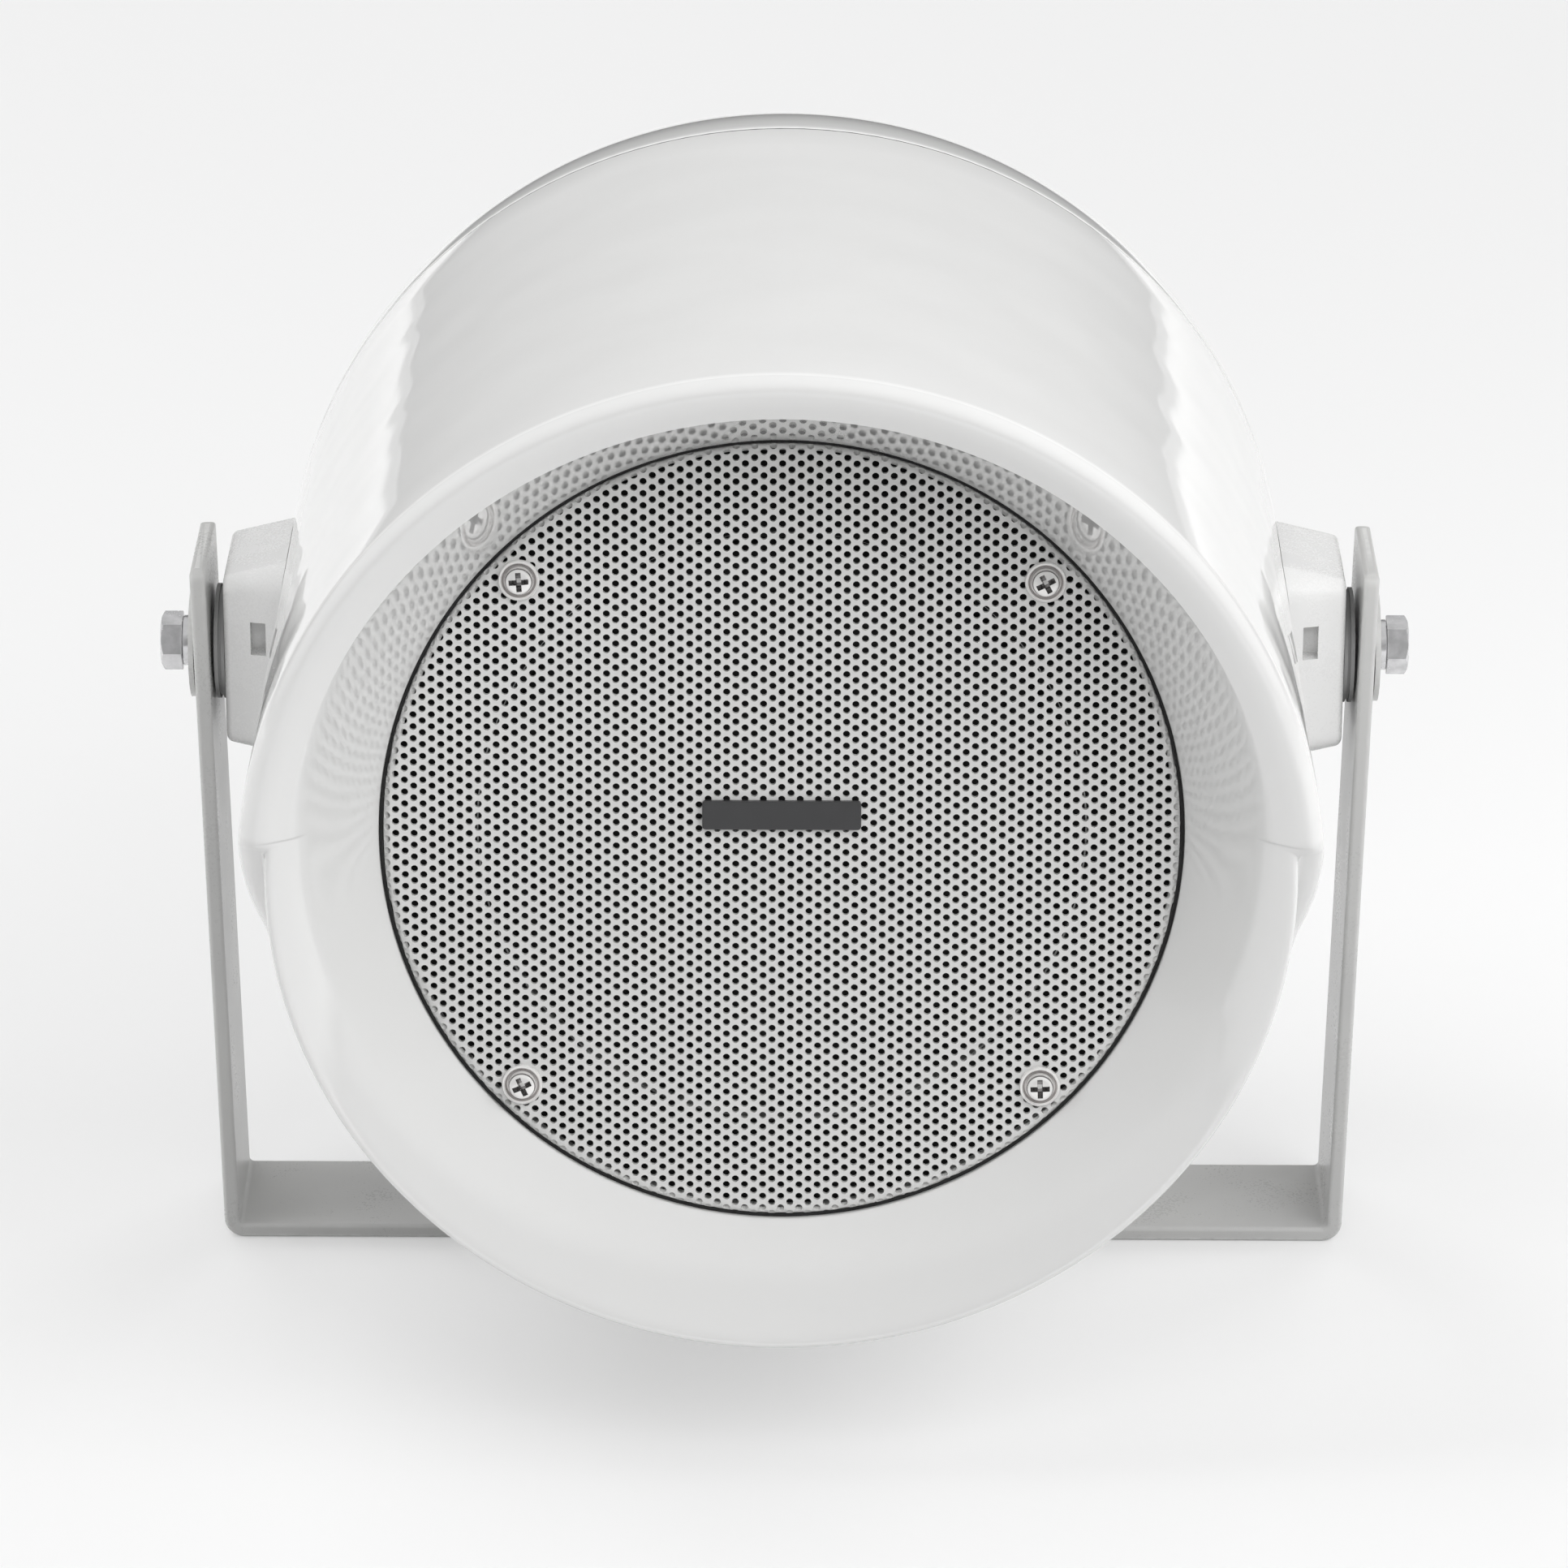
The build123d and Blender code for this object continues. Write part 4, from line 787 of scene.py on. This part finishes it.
borderEdges = [(border.index(a), border.index(b)) for a, b in ragged]
rimReach = pan["radius"] - pan["roll"] + pan["roll"] * pi / 2 + pan["depth"] - pan["roll"]
steps = pan["rimSteps"]
for reach in (pan["plainFrom"], rimReach):
    start = len(border)
    for k in range(steps):
        a = 2 * pi * k / steps
        border.append(panVertex(reach * cos(a), reach * sin(a), 0))
    borderEdges.extend((start + k, start + (k + 1) % steps) for k in range(steps))
flatBorder = [Vector(flatAt[v]) for v in border]
plain = delaunay_2d_cdt(flatBorder, borderEdges, [], 0, 1e-5)
plainPoints, plainFaces, madeFrom = plain[0], plain[2], plain[3]
for trio in plainFaces:  # plain sheet between the holes and the pan's rim
    middle = sum((plainPoints[v] for v in trio), Vector((0, 0))) / 3
    column = round(middle.x / pan["columnPitch"])
    half = 2 * round(middle.y / pan["rowPitch"] - 0.5 * (column % 2)) + column % 2
    if (column, half) not in cells and middle.length < rimReach:
        panFaces.append(tuple(border[madeFrom[v][0]] for v in trio))
panMesh = bpy.data.meshes.new("perforatedPan")
panMesh.from_pydata([tuple(p * mm) for p in panPoints], [], panFaces)
panMesh.update()
smoothFaces(panMesh, 40)
perforatedPan = addObject("perforatedPan", panMesh, panFrame)
dress(perforatedPan, finish["grillePaint"], "grille_white", "speaker", "grille")
print("grille holes:", len(cells))


# black foam on the baffle behind the sheet, and a black ring in the gap around the pan as painted shade

foamAndGapShade = {
    "inner": 56.3, "outer": 72.2, "front": 3.6, "back": 5.0, "edge": 0.3,
    "gapInner": 73.48, "gapOuter": 74.05, "gapFront": 1.1, "around": 180,
}
inner, outer, front, soft = foamAndGapShade["inner"], foamAndGapShade["outer"], -foamAndGapShade["front"], foamAndGapShade["edge"]
foamRing = [(inner, -foamAndGapShade["back"]), (outer, -foamAndGapShade["back"]), (outer, front - soft), (outer - soft, front),
            (inner + soft, front), (inner, front - soft)]
# painted shade: a black ring that darkens the gap around the pan
gapShadeRing = [(foamAndGapShade["gapInner"], -foamAndGapShade["back"]), (foamAndGapShade["gapOuter"], -foamAndGapShade["back"]),
           (foamAndGapShade["gapOuter"], -foamAndGapShade["gapFront"]), (foamAndGapShade["gapInner"], -foamAndGapShade["gapFront"])]
foamPoints, foamFaces = revolveAbout(foamRing, foamAndGapShade["around"], True)
gapShadePoints, gapShadeFaces = revolveAbout(gapShadeRing, foamAndGapShade["around"], True)
foamFaces += shifted(gapShadeFaces, len(foamPoints))
foamLining = addObject("foamLining", meshFrom("foamLining", foamPoints + gapShadePoints, foamFaces, 35), panFrame)
dress(foamLining, finish["foamBlack"], "foam_black", "speaker")


# grille screws: domed heads with a cross recess in cup washers

screw = {
    "half": 48.0, "height": 2.55, "turns": {(-1, 1): 4, (1, 1): 27, (-1, -1): 24, (1, -1): 2},
    "cup": [(0, 0.05), (3.65, 0.05), (3.8, 0.2), (3.8, 0.7), (3.74, 1.0), (3.58, 1.2), (3.4, 1.18), (3.2, 0.95),
            (3.0, 0.6), (2.82, 0.4), (2.66, 0.42)],  # radius and height
    "head": [(2.6, 0.6), (2.58, 1.2), (2.5, 1.72), (2.32, 2.1), (2.02, 2.34), (1.6, 2.48), (1.0, 2.53),
             (0.5, 2.55), (0, 2.55)],
    "crossReach": 2.15, "crossWidth": 1.05, "crossDepth": 1.9, "crossAbove": 0.6,
    "footReach": 0.45, "footWidth": 0.75,  # share of the cross that is left at its foot
    "dishFrom": 2.62, "dishTo": 3.28,  # the dull hollow of the cup, which gets painted shade
    # faces of the cross recess that get the darker painted shade
    "recessFrom": 0.5, "recessTo": 2.5, "recessTop": 1.85, "recessSlope": 0.75,
}


def crossArm(quarter):  # one tapered slot of the recess
    points = []
    top, foot = screw["height"] + screw["crossAbove"], screw["height"] - screw["crossDepth"]
    for level, long, wide in ((top, 1.0, 1.0), (foot, screw["footReach"], screw["footWidth"])):
        for x, y in ((-1, -1), (1, -1), (1, 1), (-1, 1)):
            flat = Vector((x * screw["crossReach"] * long, y * screw["crossWidth"] * wide / 2, level))
            points.append(Matrix.Rotation(radians(quarter), 3, "Z") @ flat)
    return addObject("crossArm", meshFrom("crossArm", points, loftFaces(2, 4), 30))


joined = bmesh.new()
for (side, rise), turn in screw["turns"].items():
    headPoints, headFaces = revolveAbout(screw["cup"] + screw["head"], 48)
    head = addObject("screwHead", meshFrom("screwHead", headPoints, headFaces, 40))
    cutAway(head, [crossArm(0), crossArm(90)], 35)
    place = Matrix.Translation((side * screw["half"] * mm, rise * screw["half"] * mm, 0))
    head.data.transform(place @ Matrix.Rotation(radians(turn), 4, "Z"))
    joined.from_mesh(head.data)
    bpy.data.objects.remove(head)
screwMesh = bpy.data.meshes.new("screwHeads")
joined.to_mesh(screwMesh)
joined.free()
smoothFaces(screwMesh, 35)
screwHeads = addObject("screwHeads", screwMesh, panFrame)
dress(screwHeads, finish["screwNickel"], "zinc", "speaker", "grille_screws")
# painted shade: the cup's hollow and the sunk faces of the cross recess get darker finishes
screwMesh.materials.append(finish["screwDish"])
screwMesh.materials.append(finish["screwRecess"])
for face in screwMesh.polygons:
    spot = face.center / mm
    away = hypot(abs(spot.x) - screw["half"], abs(spot.y) - screw["half"])
    sunk = face.normal.z < screw["recessSlope"] or spot.z < screw["recessTop"]
    if screw["dishFrom"] < away < screw["dishTo"]:
        face.material_index = 1
    elif screw["recessFrom"] < away < screw["recessTo"] and sunk:
        face.material_index = 2


# badge: a plain dark plate with softened edges

badge = {
    "width": 29.2, "height": 5.4, "thickness": 1.2, "lift": 0.05, "rise": 3.9,
    "corner": 0.6, "leastCorner": 0.1, "edge": 0.3,
}


def roundedOutline(width, height, corner, count):
    outline = []
    for quarter, (x, y) in enumerate(((1, 1), (-1, 1), (-1, -1), (1, -1))):
        for i in range(count + 1):
            a = pi / 2 * (quarter + i / count)
            outline.append((x * (width / 2 - corner) + corner * cos(a),
                            y * (height / 2 - corner) + corner * sin(a)))
    return outline


badgeTop = badge["lift"] + badge["thickness"]
badgeLevels = [(badge["lift"], 0.0)] + [
    (badgeTop - badge["edge"] * (1 - sin(a)), badge["edge"] * (1 - cos(a))) for a in [0.0] + quarterTurns(5)
]
badgePoints = []
for level, inset in badgeLevels:
    for x, y in roundedOutline(badge["width"] - 2 * inset, badge["height"] - 2 * inset,
                               max(badge["corner"] - inset, badge["leastCorner"]), 6):
        badgePoints.append(Vector((x, y + badge["rise"], level)))
badgeFaces = loftFaces(len(badgeLevels), len(badgePoints) // len(badgeLevels))
badgePlate = addObject("badgePlate", meshFrom("badgePlate", badgePoints, badgeFaces, 50), panFrame)
flatNormals(badgePlate)
dress(badgePlate, finish["badgeDark"], "badge_dark", "speaker", "badge_plate")


# bracket: bent steel strip with softened edges

strip = {
    "width": 30.0, "thickness": 3.0, "armHalf": 114.5, "armHeight": 142.6, "lean": 1.3, "bend": 4.0,
    "edge": 0.9, "leastEdge": 0.05, "tipRound": 2.0,
    "centreHole": 4.25, "sideHole": 3.25, "sideSpacing": 80.0, "holeEdge": 0.35, "drillPast": 2.0, "skin": 0.001,
}
lean = radians(strip["lean"])
armSlope = tan(lean)
armFoot = strip["armHalf"] - housing["pivotHeight"] * armSlope
halfThick, halfWide = strip["thickness"] / 2, strip["width"] / 2
middleBend = strip["bend"] - halfThick
turnAngle = pi / 2 - lean
tangentRun = middleBend * tan(turnAngle / 2)
armDirection = Vector((sin(lean), cos(lean)))
armNormal = Vector((cos(lean), -sin(lean)))
cornerX = armFoot + halfThick * armSlope - halfThick / cos(lean)
cornerPoint = Vector((cornerX, halfThick))
armLength = (strip["armHeight"] - halfThick) / cos(lean)
stations = []  # centre, outward normal, half width, inset
for share in [0.0] + shares(12):
    stations.append((Vector(((cornerX - tangentRun) * share, halfThick)), Vector((0, -1)), halfWide, 0.0))
bendCentre = Vector((cornerX - tangentRun, halfThick + middleBend))
for share in shares(14):
    normal = Vector((sin(turnAngle * share), -cos(turnAngle * share)))
    stations.append((bendCentre + normal * middleBend, normal, halfWide, 0.0))
tipStart = armLength - strip["tipRound"]
runs = [tangentRun + (tipStart - tangentRun) * share for share in shares(16)]
runs += [tipStart + strip["tipRound"] * sin(a) for a in quarterTurns(20)]
for run in runs:
    left = armLength - run
    short = max(strip["tipRound"] - left, 0.0)
    wide = halfWide - strip["tipRound"] + sqrt(max(strip["tipRound"] ** 2 - short ** 2, 0.0))
    into = max(strip["edge"] - left, 0.0)
    inset = strip["edge"] - sqrt(max(strip["edge"] ** 2 - into ** 2, 0.0))
    stations.append((cornerPoint + armDirection * run, armNormal, wide, inset))
otherArm = [(Vector((-c.x, c.y)), Vector((-n.x, n.y)), w, e) for c, n, w, e in stations[1:]]
stations = otherArm[::-1] + stations
stripPoints = []
for centre, normal, wide, inset in stations:
    section = roundedOutline(2 * (wide - inset), strip["thickness"] - 2 * inset,
                             max(strip["edge"] - inset, strip["leastEdge"]), 5)
    for y, out in section:
        stripPoints.append(Vector((centre.x + normal.x * out, y, centre.y + normal.y * out)))
stripFaces = loftFaces(len(stations), len(stripPoints) // len(stations))
bentStrip = addObject("bentStrip", meshFrom("bentStrip", stripPoints, stripFaces, 45))
drills = []
sideAt, soft, skin = strip["sideSpacing"] / 2, strip["holeEdge"], strip["skin"]
under, top = -strip["drillPast"], strip["thickness"]
for at, radius in ((0, strip["centreHole"]), (-sideAt, strip["sideHole"]), (sideAt, strip["sideHole"])):
    rod, rodFaces = revolveAbout([
        (0, under), (radius + soft, under), (radius + soft, -skin), (radius, soft),
        (radius, top - soft), (radius + soft, top + skin), (radius + soft, top - under), (0, top - under),
    ], 48)
    drills.append(addObject("drill", meshFrom("drill", [p + Vector((at, 0, 0)) for p in rod], rodFaces, 30)))
cutAway(bentStrip, drills, 40)
flatNormals(bentStrip)
dress(bentStrip, finish["bracketPaint"], "bracket_paint", "bracket", "u_bracket")


# pivot bolts with one flat towards the front, and spring washers split at the back

bolt = {
    "face": 117.65, "head": 4.19, "flats": 9.98, "bevelRadius": 4.75, "bevelDepth": 0.7, "shank": 3.0,
    "length": 20.0, "tipEdge": 0.4, "footEdge": 0.15, "flatTurn": 22.8, "around": 120,
}
washer = {
    "face": 116.0, "thickness": 1.6, "inner": 3.3, "outer": 4.95, "edge": 0.2, "splitTurn": 9.0, "around": 80,
}


def pivotPoint(side, out, reach, turn):  # turn runs from the front upwards
    return Vector((side * out, -reach * cos(turn), housing["pivotHeight"] + reach * sin(turn)))


def boltColumn(side, turn):
    off = (turn - radians(bolt["flatTurn"]) + pi / 6) % (pi / 3) - pi / 6
    flat = bolt["flats"] / 2 / cos(off)
    top, tip = bolt["face"] + bolt["head"], bolt["face"] - bolt["length"]
    column = [(tip, 0.0), (tip, bolt["shank"] - bolt["tipEdge"]), (tip + bolt["tipEdge"], bolt["shank"]),
              (bolt["face"], bolt["shank"]), (bolt["face"], flat - bolt["footEdge"]),
              (bolt["face"] + bolt["footEdge"], flat)]
    for i in range(9):
        below = bolt["bevelDepth"] * (1 - i / 8)
        column.append((top - below, min(flat, bolt["bevelRadius"] + below * sqrt(3))))
    column.append((top, 0.0))
    return [pivotPoint(side, out, reach, turn) for out, reach in column]


near, far = washer["face"], washer["face"] + washer["thickness"]
inner, outer, soft = washer["inner"], washer["outer"], washer["edge"]
washerSection = [(near, inner), (far, inner), (far, outer - soft), (far - soft, outer),
                 (near + soft, outer), (near, outer - soft)]
washerOpen = 360 - 2 * washer["splitTurn"]
boltPoints, boltFaces, washerPoints, washerFaces = [], [], [], []
for side in (-1, 1):
    columns = [boltColumn(side, radians(bolt["flatTurn"]) + 2 * pi * k / bolt["around"])
               for k in range(bolt["around"])]
    boltFaces += shifted(ringFaces(len(columns), len(columns[0]), False), len(boltPoints))
    boltPoints += [point for column in columns for point in column]
    washerFaces += shifted(loftFaces(washer["around"] + 1, len(washerSection)), len(washerPoints))
    for share in [0.0] + shares(washer["around"]):
        turn = pi + radians(washer["splitTurn"] + washerOpen * share)
        washerPoints += [pivotPoint(side, out, reach, turn) for out, reach in washerSection]
pivotBolts = addObject("pivotBolts", meshFrom("pivotBolts", boltPoints, boltFaces, 22))
dress(pivotBolts, finish["zincPlate"], "zinc", "speaker", "left_pivot_bolt", "right_pivot_bolt")
springWashers = addObject("springWashers", meshFrom("springWashers", washerPoints, washerFaces, 30))
dress(springWashers, finish["zincPlate"], "zinc", "speaker", "left_spring_washer", "right_spring_washer")


# floor, lamps and camera

studio = {
    "floorTone": (0.62, 0.62, 0.62), "floorRough": 0.9, "floorShine": 0.1, "floorReach": 14.0, "floorBack": 3.2,
    "glowNear": 0.272, "glowFar": 0.285, "glowStart": -0.135, "glowEnd": 1.6,
    "cardLevel": 0.12, "cardHeight": 2.0, "worldTone": (1.0, 1.0, 1.0), "worldLevel": 0.2,
    "mirrorLevel": 0.6, "roomLevel": 0.22, "roomFrom": -0.95, "roomTo": -0.6,
}
white = (1, 1, 1, 1)
reach, back, tall = studio["floorReach"], studio["floorBack"], studio["cardHeight"]
floorMesh = bpy.data.meshes.new("studioFloor")
floorMesh.from_pydata([(-reach, -reach, 0), (reach, -reach, 0), (reach, back, 0), (-reach, back, 0)],
                      [], [(0, 1, 2, 3)])
studioFloor = addObject("studioFloor", floorMesh)
paper = bpy.data.materials.new("floorPaper")
paper.use_nodes = True
tree = paper.node_tree
shader = tree.nodes["Principled BSDF"]
shader.inputs["Base Color"].default_value = studio["floorTone"] + (1,)
shader.inputs["Roughness"].default_value = studio["floorRough"]
shader.inputs["Specular IOR Level"].default_value = studio["floorShine"]
depth = addNode(tree, "ShaderNodeSeparateXYZ", {0: objectSpot(tree)}).outputs[1]
lift = mapValue(tree, depth, studio["glowStart"], studio["glowEnd"], studio["glowNear"], studio["glowFar"])
glow = addNode(tree, "ShaderNodeEmission",
               {"Color": white, "Strength": mathNode(tree, "MULTIPLY", seenDirectly(tree), lift)})
total = addNode(tree, "ShaderNodeAddShader", {0: shader.outputs[0], 1: glow.outputs[0]})
tree.links.new(total.outputs[0], tree.nodes["Material Output"].inputs["Surface"])
floorMesh.materials.append(paper)

# dark studio behind the set, seen only in glossy surfaces
cardMesh = bpy.data.meshes.new("rearCard")
cardMesh.from_pydata([(-reach, back, 0), (reach, back, 0), (reach, back, tall), (-reach, back, tall)],
                     [], [(0, 1, 2, 3)])
rearCard = addObject("rearCard", cardMesh)
cardCloth = bpy.data.materials.new("cardCloth")
cardCloth.use_nodes = True
tree = cardCloth.node_tree
tree.nodes.remove(tree.nodes["Principled BSDF"])
cardGlow = addNode(tree, "ShaderNodeEmission", {"Color": white, "Strength": studio["cardLevel"]})
tree.links.new(cardGlow.outputs[0], tree.nodes["Material Output"].inputs["Surface"])
cardMesh.materials.append(cardCloth)
rearCard.visible_camera = False
rearCard.visible_diffuse = False
rearCard.visible_shadow = False

world = bpy.data.worlds.new("studioWorld")
scene.world = world
world.use_nodes = True
tree = world.node_tree
sky = tree.nodes["Background"]
sky.inputs["Color"].default_value = studio["worldTone"] + (1,)
# the gloss sees a darker room towards the front of the set
heading = addNode(tree, "ShaderNodeSeparateXYZ",
                  {0: addNode(tree, "ShaderNodeTexCoord").outputs["Generated"]}).outputs[1]
room = mapValue(tree, heading, studio["roomFrom"], studio["roomTo"], studio["roomLevel"], studio["mirrorLevel"])
level = addNode(tree, "ShaderNodeMix", {0: seenDirectly(tree), 2: studio["worldLevel"], 3: room}, data_type="FLOAT")
tree.links.new(level.outputs[0], sky.inputs["Strength"])

lampAim = Vector((0, -0.03, 0.12))
lamps = {  # soft boxes that light the set without showing in the gloss
    "leftLow": {"at": (-1.956, -0.03, 0.536), "size": 1.1, "power": 12.0},
    "rightLow": {"at": (1.956, -0.03, 0.536), "size": 1.1, "power": 6.0},
    "leftHigh": {"at": (-0.901, -0.03, 0.751), "size": 0.7, "power": 1.1},
    "rightHigh": {"at": (0.901, -0.03, 0.751), "size": 0.7, "power": 3.0},
    "keyFront": {"at": (0.637, -0.667, 0.751), "size": 0.7, "power": 4.7},
    "frontHigh": {"at": (0, -0.931, 0.751), "size": 0.7, "power": 3.1},
    "topLeft": {"at": (-0.516, -0.03, 1.091), "size": 0.7, "power": 3.2},
    "rearRight": {"at": (1.081, 1.842, 0.907), "size": 1.2, "power": 12.0},
    "rearMiddle": {"at": (0, 2.131, 0.907), "size": 1.2, "power": 5.0},
    "rearLeft": {"at": (-1.081, 1.842, 0.907), "size": 1.2, "power": 12.0},
}
for lampName, lamp in lamps.items():
    light = bpy.data.lights.new(lampName, "AREA")
    light.shape = "RECTANGLE"
    light.size = light.size_y = lamp["size"]
    light.energy = lamp["power"]
    lampObject = bpy.data.objects.new(lampName, light)
    scene.collection.objects.link(lampObject)
    lampObject.location = lamp["at"]
    lampObject.rotation_euler = (lampAim - Vector(lamp["at"])).to_track_quat("-Z", "Y").to_euler()
    lampObject.visible_camera = False
    lampObject.visible_glossy = False
print("lamps set:", len(lamps))

view = {  # millimetres, degrees and photo pixels
    "at": (6.36, -1362.8, 665.59), "pan": -0.269, "tiltDown": 22.80, "roll": 0.117,
    "focal": 9231.0, "pixels": 1932.0, "sensor": 36.0, "clip": (0.05, 60.0),
}
viewPan, viewTilt, viewRoll = radians(view["pan"]), radians(view["tiltDown"]), radians(view["roll"])
forward = Vector((sin(viewPan) * cos(viewTilt), cos(viewPan) * cos(viewTilt), -sin(viewTilt)))
right = Vector((cos(viewPan), -sin(viewPan), 0))
upward = right.cross(forward)
camX = right * cos(viewRoll) + upward * sin(viewRoll)
camY = upward * cos(viewRoll) - right * sin(viewRoll)
cameraData = bpy.data.cameras.new("photoCamera")
cameraData.sensor_fit = "HORIZONTAL"
cameraData.sensor_width = view["sensor"]
cameraData.lens = view["focal"] * view["sensor"] / view["pixels"]
cameraData.clip_start, cameraData.clip_end = view["clip"]
cameraObject = bpy.data.objects.new("photoCamera", cameraData)
scene.collection.objects.link(cameraObject)
cameraObject.matrix_world = Matrix((
    (camX.x, camY.x, -forward.x, view["at"][0] * mm),
    (camX.y, camY.y, -forward.y, view["at"][1] * mm),
    (camX.z, camY.z, -forward.z, view["at"][2] * mm),
    (0, 0, 0, 1),
))
scene.camera = cameraObject
scene.view_settings.view_transform = "Standard"

print("scene ready")
